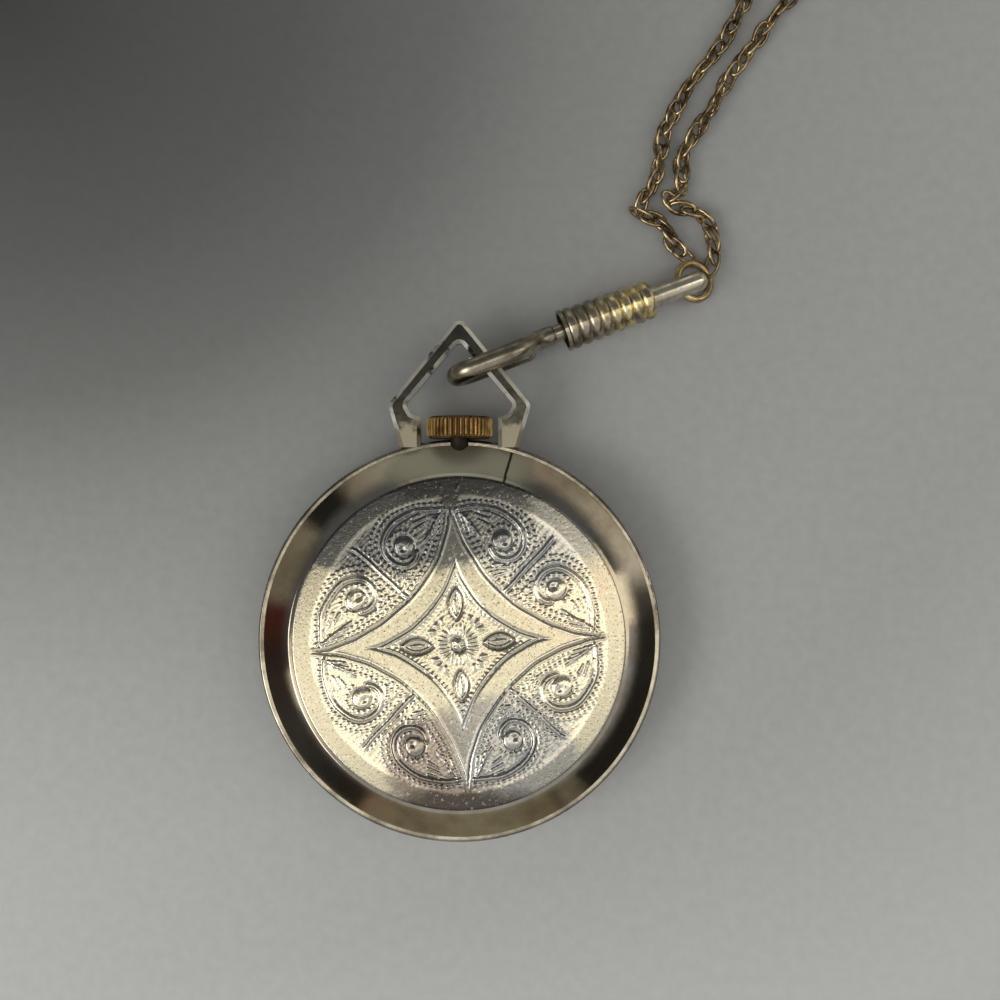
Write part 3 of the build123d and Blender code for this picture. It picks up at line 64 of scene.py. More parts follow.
# The room: a broad soft light from the lower left, and walls that differ round the horizon. The
# case's cone mirrors the horizon, and the cover mirrors the ceiling, so both are set by direction.
def colour_ramp(tree, stops):
    ramp = tree.nodes.new("ShaderNodeValToRGB")
    ramp.color_ramp.interpolation = "LINEAR"
    elements = ramp.color_ramp.elements
    while len(elements) < len(stops):
        elements.new(0.5)
    for element, (place, colour) in zip(elements, sorted(stops)):
        element.position = place
        element.color = (*colour, 1.0)
    return ramp


def mixed(tree, share, first, second, mode="MIX"):
    mix = tree.nodes.new("ShaderNodeMix")
    mix.data_type = "RGBA"
    mix.blend_type = mode
    for socket, value in ((mix.inputs[0], share), (mix.inputs[6], first), (mix.inputs[7], second)):
        if hasattr(value, "is_linked"):
            tree.links.new(value, socket)
        elif isinstance(value, (int, float)):
            socket.default_value = value
        else:
            socket.default_value = (*value, 1.0)
    return mix.outputs[2]


def calculated(tree, operation, first, second=None, clamp=False):
    math_node = tree.nodes.new("ShaderNodeMath")
    math_node.operation = operation
    math_node.use_clamp = clamp
    for socket, value in zip(math_node.inputs, (first, second)):
        if hasattr(value, "is_linked"):
            tree.links.new(value, socket)
        elif value is not None:
            socket.default_value = value
    return math_node.outputs[0]


# Where all of the masks are one
def overlap(tree, mask, *others):
    for other in others:
        mask = calculated(tree, "MULTIPLY", mask, other)
    return mask


def blend_over(tree, value, start, end):
    span = tree.nodes.new("ShaderNodeMapRange")
    span.interpolation_type = "SMOOTHSTEP"
    span.inputs["From Min"].default_value = start
    span.inputs["From Max"].default_value = end
    tree.links.new(value, span.inputs["Value"])
    return span.outputs[0]


world = bpy.data.worlds.new("room")
bpy.context.scene.world = world
world.use_nodes = True
room = world.node_tree
room.nodes.clear()
toward = room.nodes.new("ShaderNodeSeparateXYZ")
room.links.new(room.nodes.new("ShaderNodeTexCoord").outputs["Generated"], toward.inputs[0])
rightward, upward, skyward = toward.outputs
bearing = calculated(room, "ARCTAN2", upward, rightward)
bearing = calculated(room, "ADD", calculated(room, "DIVIDE", bearing, 2 * math.pi), 0.5)

# The wall's colour at each bearing, in degrees from the picture's right, anticlockwise
wall_tones = [
    (-180, (0.06, 0.02, 0.015)), (-172, (0.033, 0.021, 0.018)), (-145, (0.05, 0.047, 0.043)),
    (-130, (0.03, 0.027, 0.025)), (-121, (0.03, 0.025, 0.02)), (-118, (0.22, 0.16, 0.11)),
    (-108, (0.23, 0.2, 0.14)), (-85, (0.25, 0.23, 0.16)), (-65, (0.21, 0.19, 0.13)),
    (-62, (0.09, 0.08, 0.06)), (-59, (0.19, 0.17, 0.12)), (-55, (0.14, 0.13, 0.09)),
    (-52, (0.02, 0.018, 0.015)), (-25, (0.022, 0.021, 0.018)), (0, (0.03, 0.03, 0.026)),
    (10, (0.09, 0.09, 0.085)), (19, (0.66, 0.62, 0.54)), (33, (0.62, 0.57, 0.47)),
    (52, (0.33, 0.3, 0.24)), (71, (0.29, 0.25, 0.2)), (72.5, (0.02, 0.02, 0.02)),
    (76, (0.02, 0.02, 0.02)), (77.5, (0.42, 0.43, 0.37)), (100, (0.44, 0.44, 0.37)),
    (120, (0.33, 0.32, 0.25)), (130, (0.22, 0.2, 0.155)), (134, (0.02, 0.02, 0.017)),
    (145, (0.02, 0.02, 0.017)), (149, (0.22, 0.2, 0.15)), (171, (0.19, 0.165, 0.125)),
    (175, (0.075, 0.022, 0.016)), (180, (0.06, 0.02, 0.015)),
]
walls = colour_ramp(room, [(0.5 + turn / 360.0, tone) for turn, tone in wall_tones])
room.links.new(bearing, walls.inputs[0])

# The ceiling is pale towards the picture's foot and dim past its middle; each change is a straight
# edge, given by its lean over the room and by where on it the change starts and ends
ceiling_pale = (1.35, 1.24, 1.0)
ceiling_mid = (0.42, 0.42, 0.42)
ceiling_dim = (0.1, 0.105, 0.11)
mid_lean, mid_edge = (0.25, -1.0), (0.17, 0.25)
dim_lean, dim_edge = (-0.3, 1.0), (0.015, 0.06)
wall_top, ceiling_foot = 0.3, 0.5
room_strength = 1.3


def past_edge(lean, edge):
    across = calculated(room, "MULTIPLY", rightward, lean[0])
    along = calculated(room, "MULTIPLY", upward, lean[1])
    return blend_over(room, calculated(room, "ADD", across, along), *edge)


ceiling = mixed(room, past_edge(mid_lean, mid_edge), ceiling_pale, ceiling_mid)
ceiling = mixed(room, past_edge(dim_lean, dim_edge), ceiling, ceiling_dim)
overhead = blend_over(room, skyward, wall_top, ceiling_foot)
background = room.nodes.new("ShaderNodeBackground")
background.inputs["Strength"].default_value = room_strength
room.links.new(mixed(room, overhead, walls.outputs[0], ceiling), background.inputs["Color"])
world_out = room.nodes.new("ShaderNodeOutputWorld")
room.links.new(background.outputs[0], world_out.inputs[0])

window_place = (-265 * mm, -100 * mm, 290 * mm)
window_aim = (0, 10 * mm, 0)
window_size = (260 * mm, 180 * mm)
window_power = 0.48
window_tint = (1.0, 0.97, 0.91)
lamp_data = bpy.data.lights.new("window", "AREA")
lamp_data.shape = "RECTANGLE"
lamp_data.size, lamp_data.size_y = window_size
lamp_data.energy = window_power
lamp_data.color = window_tint
lamp = bpy.data.objects.new("window", lamp_data)
bpy.context.scene.collection.objects.link(lamp)
lamp.location = window_place
lamp.rotation_euler = (Vector(window_aim) - Vector(window_place)).to_track_quat("-Z", "Y").to_euler()


# The table: a plain matt grey board. Its colour holds a painted shadow, darker towards the far left,
# where the shadow of whoever holds the camera falls, and painted light, brighter on the left and
# dimmer on the right. It is a broad flat square, so its grain has no edge in the view.
def new_material(name, colour=(0.5, 0.5, 0.5), metallic=0.0, roughness=0.5):
    material = bpy.data.materials.new(name)
    material.use_nodes = True
    shader = material.node_tree.nodes["Principled BSDF"]
    shader.inputs["Base Color"].default_value = (*colour, 1.0)
    shader.inputs["Metallic"].default_value = metallic
    shader.inputs["Roughness"].default_value = roughness
    return material, material.node_tree, shader


def place_of(tree):
    return tree.nodes.new("ShaderNodeTexCoord").outputs["Object"]


def place_noise(tree, scale, detail=3.0, roughness=0.55):
    noise = tree.nodes.new("ShaderNodeTexNoise")
    noise.inputs["Scale"].default_value = scale
    noise.inputs["Detail"].default_value = detail
    noise.inputs["Roughness"].default_value = roughness
    tree.links.new(place_of(tree), noise.inputs["Vector"])
    return noise.outputs["Fac"]


# How far a point lies from a centre, once it is stretched along each axis and shifted
def stretched_distance(tree, stretch, shift):
    mapping = tree.nodes.new("ShaderNodeMapping")
    mapping.inputs["Scale"].default_value = stretch
    mapping.inputs["Location"].default_value = shift
    tree.links.new(place_of(tree), mapping.inputs["Vector"])
    distance = tree.nodes.new("ShaderNodeVectorMath")
    distance.operation = "LENGTH"
    tree.links.new(mapping.outputs[0], distance.inputs[0])
    return distance.outputs["Value"]


def add_object(name, mesh):
    thing = bpy.data.objects.new(name, mesh)
    bpy.context.scene.collection.objects.link(thing)
    return thing


table_half = 1.2
shade_stretch = (11.9, -13.5, 1.0)
shade_shift = (0.507, 0.795, 0.0)
shade_reach = 1.9
table_shade_tones = [
    (0.0, (0.042, 0.045, 0.045)), (0.17, (0.098, 0.102, 0.1)), (0.26, (0.158, 0.164, 0.161)),
    (0.33, (0.265, 0.274, 0.269)), (0.46, (0.4, 0.413, 0.405)), (0.56, (0.465, 0.48, 0.47)),
    (0.65, (0.49, 0.505, 0.496)), (0.84, (0.69, 0.707, 0.696)),
]
left_light = (1.15, 1.16, 1.24)
right_light = (0.86, 0.87, 0.93)
light_reach = 60 * mm
board_grain = 900.0
board_grain_share = 0.12
table_shape = bmesh.new()
bmesh.ops.create_grid(table_shape, x_segments=1, y_segments=1, size=table_half)
table_mesh = bpy.data.meshes.new("table")
table_shape.to_mesh(table_mesh)
table_shape.free()
table = add_object("table", table_mesh)
table_paint, tree, shader = new_material("table_paint", roughness=0.55)
# Painted shadow: the colour darkens towards the shade's centre at the far left
from_shade = stretched_distance(tree, shade_stretch, shade_shift)
shade = calculated(tree, "DIVIDE", from_shade, shade_reach, clamp=True)
table_shade_colours = colour_ramp(tree, table_shade_tones)
tree.links.new(shade, table_shade_colours.inputs[0])
table_place = tree.nodes.new("ShaderNodeSeparateXYZ")
tree.links.new(place_of(tree), table_place.inputs[0])
# Painted light: the colour is made brighter on the left and dimmer on the right
to_right = blend_over(tree, table_place.outputs[0], -light_reach, light_reach)
side_light = mixed(tree, to_right, left_light, right_light)
lit_table = mixed(tree, 1.0, table_shade_colours.outputs[0], side_light, "MULTIPLY")
grained = mixed(tree, board_grain_share, lit_table, place_noise(tree, board_grain, 4.0), "OVERLAY")
tree.links.new(grained, shader.inputs["Base Color"])
table_mesh.materials.append(table_paint)


# Necklace chain: about 0.6 m of aged brass chain. Each oval link of drawn wire hangs in the two
# before it, so the chain looks twisted. It loops round the neck and ends on the jump ring again.
chain_height = 0.86
left_strand = [
    (20.97, 34.82), (19.75, 35.6), (19.3, 37.1), (17.9, 38.5), (16.2, 38.9), (16.8, 40.3),
    (18.05, 42.2), (18.3, 44.4), (18.8, 46.9), (19.9, 48.7), (20.8, 50.5), (22.4, 52.5),
    (24.1, 54.6), (25.4, 57.0), (26.3, 59.2), (27.0, 62.5), (26.1, 66.6), (25.0, 70.5), (25.0, 74.3),
]
right_strand = [
    (22.9, 33.75), (23.4, 34.75), (23.2, 36.3), (22.9, 38.1), (21.7, 39.1), (19.9, 39.5), (19.1, 40.3),
    (20.3, 41.1), (20.25, 42.8), (20.5, 44.7), (21.6, 46.5), (23.0, 48.3), (24.1, 50.6), (25.6, 52.7),
    (27.7, 55.5), (29.4, 57.9), (30.6, 59.2), (32.4, 60.5), (34.4, 61.7), (36.2, 62.02), (37.8, 62.02),
]
right_rises = {17: 0.7, 18: 1.6, 19: 2.3, 20: 2.3}
coil_centre = (39.4, 75.9)
coil_outer = 14.4
coil_pitch = 2.3
coil_in_turns = 4.75
coil_climb_turns = 0.5
coil_out_turns = 4.5
coil_steps = 14


def coil_point(turn):
    climb = min(max((turn - coil_in_turns) / coil_climb_turns, 0), 1)
    rise = coil_pitch * climb * climb * (3 - 2 * climb)
    inner = coil_outer - coil_pitch * coil_in_turns
    radius = inner + coil_pitch * max(coil_in_turns - turn, turn - coil_in_turns - coil_climb_turns, 0)
    angle = math.pi - 2 * math.pi * turn
    return (
        coil_centre[0] + radius * math.cos(angle),
        coil_centre[1] + radius * math.sin(angle),
        chain_height + rise,
    )


coil_turns = coil_in_turns + coil_climb_turns + coil_out_turns
coil_count = round(coil_turns * coil_steps)
route = [(x, y, chain_height) for x, y in left_strand]
route += [coil_point(coil_turns * step / coil_count) for step in range(coil_count + 1)]
route += [
    (x, y, chain_height + right_rises.get(index, 0))
    for index, (x, y) in reversed(list(enumerate(right_strand)))
]
route_curve = bpy.data.curves.new("chain_route", "CURVE")
route_curve.dimensions = "3D"
route_curve.resolution_u = 8
route_spline = route_curve.splines.new("NURBS")
route_spline.points.add(len(route) - 1)
for control, point in zip(route_spline.points, route):
    control.co = (*(value * mm for value in point), 1.0)
route_spline.order_u = 3
route_spline.use_endpoint_u = True
route_object = add_object("chain_route", route_curve)
route_mesh = bpy.data.meshes.new_from_object(route_object)
path = [vertex.co.copy() for vertex in route_mesh.vertices]
bpy.data.objects.remove(route_object)
bpy.data.meshes.remove(route_mesh)

link_wire = 0.185 * mm
link_bend = 0.64 * mm
link_stretch = 0.58 * mm
link_step = 1.12 * mm
link_sections = 12
link_wire_sides = 6
half_step = math.pi / link_sections
wire_place = (
    Matrix.Rotation(half_step, 4, "Z")
    @ Matrix.Translation((0, link_bend, 0))
    @ Matrix.Rotation(math.pi / 2, 4, "Y")
)
link_shape = bmesh.new()
bmesh.ops.create_circle(link_shape, segments=link_wire_sides, radius=link_wire, matrix=wire_place)
bmesh.ops.spin(
    link_shape,
    geom=link_shape.verts[:] + link_shape.edges[:],
    cent=(0, 0, 0),
    axis=(0, 0, 1),
    angle=2 * math.pi,
    steps=link_sections,
    use_merge=True,
)
for vertex in link_shape.verts:
    vertex.co.x += link_stretch * vertex.co.x / math.hypot(vertex.co.x, vertex.co.y)
bmesh.ops.recalc_face_normals(link_shape, faces=link_shape.faces)
for face in link_shape.faces:
    face.smooth = True
link_mesh = bpy.data.meshes.new("link")
link_shape.to_mesh(link_mesh)
link_shape.free()

rope_turn = 45.0
roll_play = 28.0
link_tilt = 11.0
tilt_play = 8.0
travelled = [0.0]
for before, after in zip(path, path[1:]):
    travelled.append(travelled[-1] + (after - before).length)
chain_length = travelled[-1]
link_count = int(chain_length / link_step)
shake = random.Random(7)
chain_shape = bmesh.new()
stretch_index = 0
for link in range(link_count):
    along_chain = (link + 0.5) * chain_length / link_count
    while travelled[stretch_index + 1] < along_chain:
        stretch_index += 1
    start, end = path[stretch_index], path[stretch_index + 1]
    share = (along_chain - travelled[stretch_index]) / (end - start).length
    heading = (end - start).normalized()
    turned = heading.to_track_quat("X", "Z").to_matrix().to_4x4()
    roll = math.radians(90.0 * (link % 2) + rope_turn + shake.uniform(-roll_play, roll_play))
    tilt = math.radians(link_tilt * (-1) ** link + shake.uniform(-tilt_play, tilt_play))
    placed = (
        Matrix.Translation(start.lerp(end, share))
        @ turned
        @ Matrix.Rotation(roll, 4, "X")
        @ Matrix.Rotation(tilt, 4, "Z")
    )
    copy = link_mesh.copy()
    copy.transform(placed)
    chain_shape.from_mesh(copy)
    bpy.data.meshes.remove(copy)
bpy.data.meshes.remove(link_mesh)
chain_mesh = bpy.data.meshes.new("chain")
chain_shape.to_mesh(chain_mesh)
chain_shape.free()
chain = add_object("chain", chain_mesh)


def grain_relief(tree, shader, grain, strength, depth):
    relief = tree.nodes.new("ShaderNodeBump")
    relief.inputs["Strength"].default_value = strength
    relief.inputs["Distance"].default_value = depth
    tree.links.new(grain, relief.inputs["Height"])
    tree.links.new(relief.outputs[0], shader.inputs["Normal"])


# A metal that changes in patches from a clean colour to a worn and rougher one. The balance says
# how much of it is worn, and the patch and grain sizes are noise scales per metre.
def worn_metal(name, clean, worn, roughness, patch=260.0, balance=0.5, bump=0.25, grain=2600.0):
    clean_until, worn_from = balance - 0.12, balance + 0.14
    least_share, grain_share, worn_share = 0.6, 0.9, 0.7
    grain_depth = 0.02 * mm
    material, tree, shader = new_material(name, clean, 1.0, roughness)
    wear = tree.nodes.new("ShaderNodeMapRange")
    wear.inputs["From Min"].default_value = clean_until
    wear.inputs["From Max"].default_value = worn_from
    tree.links.new(place_noise(tree, patch, 6.0, 0.62), wear.inputs["Value"])
    tree.links.new(mixed(tree, wear.outputs[0], clean, worn), shader.inputs["Base Color"])
    fine = place_noise(tree, grain, 3.0, 0.6)
    rough = calculated(tree, "MULTIPLY", fine, roughness * grain_share)
    rough = calculated(tree, "ADD", rough, roughness * least_share)
    worn_rough = calculated(tree, "MULTIPLY", wear.outputs[0], roughness * worn_share)
    tree.links.new(calculated(tree, "ADD", rough, worn_rough), shader.inputs["Roughness"])
    grain_relief(tree, shader, fine, bump, grain_depth)
    return material


# The chain's dark brown patches, placed at random, stand partly for wear and partly for painted shade
# between the links
chain_mesh.materials.append(
    worn_metal("aged_brass_and_painted_shade", (0.6, 0.47, 0.27), (0.1, 0.062, 0.035), 0.18, patch=700.0)
)
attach(chain, "ring")
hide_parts("chain_left", "chain_coil", "chain_right")


# Case: the rim, the skirt, the stem's tube and the soldered bow, chromed over brass and worn, and
# the separate polished cone that lies between the rim and the embossed cover.
def dress(material, *names):
    for name in names:
        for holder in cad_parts[name].material_slots:
            holder.material = material


dress(
    worn_metal("worn_chrome", (0.42, 0.4, 0.345), (0.17, 0.155, 0.125), 0.13, patch=300.0),
    "case_middle", "front_bezel",
)
dress(worn_metal("grimy_brass", (0.05, 0.04, 0.03), (0.03, 0.025, 0.02), 0.5), "case_tube")


# Paints a worn metal over again: a second colour where the mask is one
def paint_over(material, mask, colour, added_roughness=0.0):
    tree = material.node_tree
    shader = tree.nodes["Principled BSDF"]
    under = shader.inputs["Base Color"].links[0].from_socket
    tree.links.new(mixed(tree, mask, under, colour), shader.inputs["Base Color"])
    rough = shader.inputs["Roughness"].links[0].from_socket
    more = calculated(tree, "MULTIPLY", mask, added_roughness)
    tree.links.new(calculated(tree, "ADD", rough, more), shader.inputs["Roughness"])


# One past a plane and nought before it. The plane lies square to a way that goes out from a start,
# and its ragged edge runs over the distances from low to high.
def past_plane(material, start, way, low, high, ragged=1.6):
    edge_noise = 700.0
    tree = material.node_tree
    offset = tree.nodes.new("ShaderNodeVectorMath")
    offset.operation = "SUBTRACT"
    offset.inputs[1].default_value = start
    tree.links.new(place_of(tree), offset.inputs[0])
    project = tree.nodes.new("ShaderNodeVectorMath")
    project.operation = "DOT_PRODUCT"
    project.inputs[1].default_value = way
    tree.links.new(offset.outputs[0], project.inputs[0])
    uneven = calculated(tree, "SUBTRACT", place_noise(tree, edge_noise), 0.5)
    uneven = calculated(tree, "MULTIPLY", uneven, ragged * mm)
    distance = calculated(tree, "ADD", project.outputs["Value"], uneven)
    return blend_over(tree, distance, low * mm, high * mm)


to_crown = (0.0, 1.0, 0.0)
bow_foot = (0.0, 19.2 * mm, 0.0)
# Painted highlight: a pale colour on the bow's slanted bevels, broken into patches, stands for the light
# they catch
flat_from, flat_until = 0.97, 0.85
side_from, side_until = 0.1, 0.4
highlight_patch = 650.0
highlight_from, highlight_until = 0.3, 0.48
bevel_highlight = (0.95, 0.94, 0.88)
solder_grey = (0.36, 0.335, 0.27)
# The bow's chrome is darker than the case's: its dark base colour is a painted reflection of the dim
# ceiling in its flat faces
bow_chrome_with_painted_light = worn_metal(
    "bow_chrome_with_painted_light", (0.17, 0.165, 0.15), (0.06, 0.055, 0.045), 0.1, patch=620.0, bump=0.15
)
tree = bow_chrome_with_painted_light.node_tree
facing = tree.nodes.new("ShaderNodeSeparateXYZ")
tree.links.new(tree.nodes.new("ShaderNodeTexCoord").outputs["Normal"], facing.inputs[0])
highlighted_bevels = overlap(
    tree,
    blend_over(tree, facing.outputs[2], flat_from, flat_until),
    blend_over(tree, facing.outputs[2], side_from, side_until),
    blend_over(tree, place_noise(tree, highlight_patch), highlight_from, highlight_until),
)
soldered = past_plane(bow_chrome_with_painted_light, bow_foot, to_crown, low=0.5, high=-0.5, ragged=4.0)
paint_over(bow_chrome_with_painted_light, highlighted_bevels, bevel_highlight, added_roughness=0.34)
paint_over(bow_chrome_with_painted_light, soldered, solder_grey, added_roughness=0.25)
dress(bow_chrome_with_painted_light, "bow")


def spun(name, outline, steps):
    turned_edge = math.radians(25.0)
    shape = bmesh.new()
    corners = [shape.verts.new((radius * mm, 0.0, z * mm)) for radius, z in outline]
    sides = [shape.edges.new(pair) for pair in zip(corners, corners[1:] + corners[:1])]
    bmesh.ops.spin(
        shape,
        geom=corners + sides,
        cent=(0, 0, 0),
        axis=(0, 0, 1),
        angle=2 * math.pi,
        steps=steps,
        use_merge=True,
    )
    bmesh.ops.recalc_face_normals(shape, faces=shape.faces)
    for face in shape.faces:
        face.smooth = True
    mesh = bpy.data.meshes.new(name)
    shape.to_mesh(mesh)
    shape.free()
    mesh.set_sharp_from_angle(angle=turned_edge)
    return add_object(name, mesh)


band_outer = 17.5
band_inner = 14.95
band_low = 5.1
band_high = 7.2
band_bore = 14.0
band_under = 6.05
band_collar = 15.38
band_edge = 0.12
band_steps = 288
cone_band = spun(
    "cone_band",
    [
        (band_outer, band_low),
        (band_outer - band_edge / 3, band_low + band_edge),
        (band_inner + band_edge, band_high - band_edge / 3),
        (band_inner, band_high),
        (band_bore, band_high),
        (band_bore, band_under),
        (band_collar, band_under),
        (band_collar, band_low),
    ],
    band_steps,
)
case_centre = (0.0, 0.0, 0.0)
seam_bearing = math.radians(74.5)
seam_across = (math.sin(seam_bearing), -math.cos(seam_bearing), 0.0)
seam_ragged = 0.25
dull_silver = (0.54, 0.52, 0.42)
seam_grime = (0.06, 0.05, 0.04)
cone_metal = worn_metal(
    "patinated_cone", (0.46, 0.42, 0.35), (0.31, 0.26, 0.2), 0.075, balance=0.52, bump=0.2, grain=1800.0
)
tree = cone_metal.node_tree
dull = overlap(
    tree,
    past_plane(cone_metal, case_centre, to_crown, low=12.5, high=15.5),
    past_plane(cone_metal, case_centre, (1.0, 0.0, 0.0), low=8.0, high=4.5),
    past_plane(cone_metal, case_centre, (-1.0, 0.0, 0.0), low=8.0, high=4.5),
)
seam = overlap(
    tree,
    past_plane(cone_metal, case_centre, seam_across, low=-0.16, high=-0.04, ragged=seam_ragged),
    past_plane(cone_metal, case_centre, seam_across, low=0.2, high=0.08, ragged=seam_ragged),
    past_plane(cone_metal, case_centre, to_crown, low=9.0, high=10.0),
)
paint_over(cone_metal, dull, dull_silver, added_roughness=0.45)
paint_over(cone_metal, seam, seam_grime)
cone_band.data.materials.append(cone_metal)
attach(cone_band, "case")
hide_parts("back_band")


# Back cover: a silvered disc, pressed between dies with a four-pointed star, scrolls, beads and a
# flower, then turned down at its edge. It snaps into the cone with the spigot under it.
cover_radius = 14.7
cover_flat = 7.65
cover_rise = 0.35
cover_round = 0.15
cover_seat = 7.2
spigot_radius = 13.95
spigot_wall = 0.5
spigot_depth = 0.8
cover_cells = 300

# The pattern's layout, drawn for one eighth of the disc and mirrored round it. Lengths are in
# millimetres, a star's side is an arc with its centre on the diagonal, and angles are in degrees.
pattern_turn = math.radians(3.3)
outer_star = (14.21, 14.25)
inner_star = (10.23, 10.62)
star_tips = (11.9, 13.1)
field_end = 13.2
pattern_end = 14.3
divider_start = 5.95
divider_end = 12.6
eye_place = np.array((4.3, 8.81))
eye_radius = 0.88
dimple_place = eye_place + np.array((0.2, -0.25))
scroll_turns = [208, 238, 266, 300, 330, 358, 24, 46, 66, 86, 104, 120, 132, 141]
scroll_reach = [1.2, 1.5, 1.74, 1.84, 1.87, 1.88, 1.9, 1.96, 2.12, 2.45, 2.95, 3.55, 4.2, 4.85]
leaf_place = 3.6
leaf_half = (1.5, 0.72)
boss_radius = 0.5
bead_radius = 0.16

# What the die does along each line: how far beside it, how wide, and how high
star_edges = ((0.0, 0.065, -0.085), (0.2, 0.11, 0.035))
core_edges = ((0.0, 0.065, -0.07), (0.2, 0.07, 0.05))
divider_edges = ((0.0, 0.11, 0.1), (0.24, 0.08, -0.05))
scroll_edges = ((0.0, 0.15, 0.12), (0.27, 0.08, -0.05))
stroke_edges = ((0.0, 0.08, 0.08),)
eye_edges = ((0.05, 0.07, -0.06),)
dimple_edges = ((0.0, 0.3, -0.13),)
leaf_edges = ((0.0, 0.14, -0.09), (-0.3, 0.12, 0.08))
leaf_vein = ((-0.62, 0.12, -0.06),)
boss_edges = ((0.12, 0.09, -0.08),)
boss_slot = ((0.0, 0.12, -0.1),)
star_height = 0.035
eye_height = 0.17
boss_height = 0.17
leaf_height = 0.07
ray_height = 0.06
fan_height = 0.07
bead_height = 0.05
stipple_height = 0.012
field_depth = 0.03
heart_depth = 0.05


def ridges(away, edges):
    return sum(height * np.exp(-(((away - beside) / width) ** 2)) for beside, width, height in edges)


def cap(away, radius, height):
    return height * np.sqrt(np.clip(1 - (away / radius) ** 2, 0, 1))


def step_up(value, start, width):
    share = np.clip((value - start) / width, 0, 1)
    return share * share * (3 - 2 * share)


def to_line(points, line):
    nearest = np.full(len(points), 1e9)
    for start, end in zip(line, line[1:]):
        run = end - start
        share = np.clip(((points - start) @ run) / (run @ run), 0, 1)
        gap = np.linalg.norm(points - start - share[:, None] * run, axis=1)
        nearest = np.minimum(nearest, gap)
    return nearest


def along_line(line, spacing, first=0.0):
    places = []
    left = first
    for start, end in zip(line, line[1:]):
        length = np.linalg.norm(end - start)
        while left < length:
            places.append(start + (end - start) * left / length)
            left += spacing
        left -= length
    return places


def scroll_line(grow):
    turns = np.unwrap(np.radians(scroll_turns))
    smooth = np.linspace(0, len(turns) - 1, 60)
    turns = np.interp(smooth, range(len(turns)), turns)
    reach = np.interp(smooth, range(len(scroll_reach)), scroll_reach) + grow
    return [eye_place + r * np.array((math.cos(t), math.sin(t))) for t, r in zip(turns, reach)]


def star_line(star, inset, first, last, count=40):
    centre, radius = star
    return [
        np.array((centre, centre)) - (radius - inset) * np.array((math.sin(t), math.cos(t)))
        for t in np.linspace(math.radians(first), math.radians(last), count)
    ]


bead_step = 0.5
first_row, second_row = 0.55, 1.05
diagonal = np.array((math.sqrt(0.5), math.sqrt(0.5)))
beside = np.array((-math.sqrt(0.5), math.sqrt(0.5)))
bead_lines = [
    (scroll_line(first_row)[8:], 0.0),
    (scroll_line(second_row)[14:48], 0.0),
    (star_line(outer_star, first_row, 45, 84), 0.0),
    (star_line(outer_star, second_row, 45, 78), bead_step / 2),
    ([diagonal * 7.4 + beside * 0.42, diagonal * 12.2 + beside * 0.42], 0.0),
    ([diagonal * 8.0 + beside * 0.9, diagonal * 9.6 + beside * 0.9], 0.0),
]
bead_places = [place for line, first in bead_lines for place in along_line(line, bead_step, first)]
eye_bead_ring = 1.3
bead_places += [
    eye_place + eye_bead_ring * np.array((math.cos(t), math.sin(t)))
    for t in np.radians(range(-75, 150, 22))
]
core_bead_step = 0.42
bead_places += along_line(star_line(inner_star, -0.42, 45, 80), core_bead_step)
strokes = [
    [np.array((0.75 + 0.16 * k, 11.9 - 0.25 * k)), np.array((1.15 + 0.42 * k, 10.1 - 0.28 * k))]
    for k in range(4)
]
strokes += [
    [np.array((2.0 + 0.2 * k, 11.75 - 0.5 * k)), np.array((3.4 - 0.1 * k, 11.3 - 0.55 * k))]
    for k in range(3)
]
strokes += [
    [np.array((2.95 + 0.12 * k, 5.75 + 0.32 * k)), np.array((4.35 + 0.2 * k, 5.85 + 0.3 * k))]
    for k in range(4)
]


# A hand-cut die is never quite true, so the pattern wavers by less than a tenth of a millimetre
def wavered(x, y):
    waver, quiver = 0.07, 0.025
    return (
        x + waver * np.sin(0.6 * y + 0.4) + quiver * np.sin(2.3 * y),
        y + waver * np.sin(0.5 * x + 2.0) + quiver * np.sin(2.6 * x),
    )


def eye_lift(points):
    from_eye = np.linalg.norm(points - eye_place, axis=1)
    from_dimple = np.linalg.norm(points - dimple_place, axis=1)
    lift = cap(from_eye, eye_radius, eye_height)
    return lift + ridges(from_eye - eye_radius, eye_edges) + ridges(from_dimple, dimple_edges)


def bead_lift(points):
    nearest = np.full(len(points), 1e9)
    for place in bead_places:
        nearest = np.minimum(nearest, np.linalg.norm(points - place, axis=1))
    return cap(nearest, bead_radius, bead_height)


def stipple_lift(a, b):
    rows = np.sin(11.3 * a + 2.0 * np.sin(3.1 * b))
    columns = np.sin(11.9 * b + 2.0 * np.sin(2.7 * a))
    return stipple_height * rows * columns


def leaf_lift(a, b):
    leaf = 1 - ((a - leaf_place) / leaf_half[0]) ** 2
    edge = b / leaf_half[1] - np.clip(leaf, 0, 1)
    lift = leaf_height * np.clip(-edge, 0, 1) + ridges(edge, leaf_edges)
    return (leaf > 0) * lift + (leaf > 0.3) * ridges(edge, leaf_vein)


# The flower: a slotted boss, short rays round it, and a fan of rays between each two leaves
def flower_lift(a, b, out):
    bearing = np.arctan2(b, a)
    rays = 0.5 + 0.5 * np.cos(24 * bearing + 0.7 * np.sin(5 * out))
    fan = step_up(bearing, 0.36, 0.1) * step_up(out, 2.0, 0.3) * step_up(2.9 - out, 0.0, 0.4)
    lift = ray_height * rays * step_up(out, 0.8, 0.2) * step_up(1.95 - out, 0.0, 0.5)
    lift += fan_height * rays * fan
    lift += cap(out, boss_radius, boss_height) + ridges(out - boss_radius, boss_edges)
    return lift + (out < boss_radius) * ridges(b + 0.1 - 0.15 * np.sin(4 * a), boss_slot)


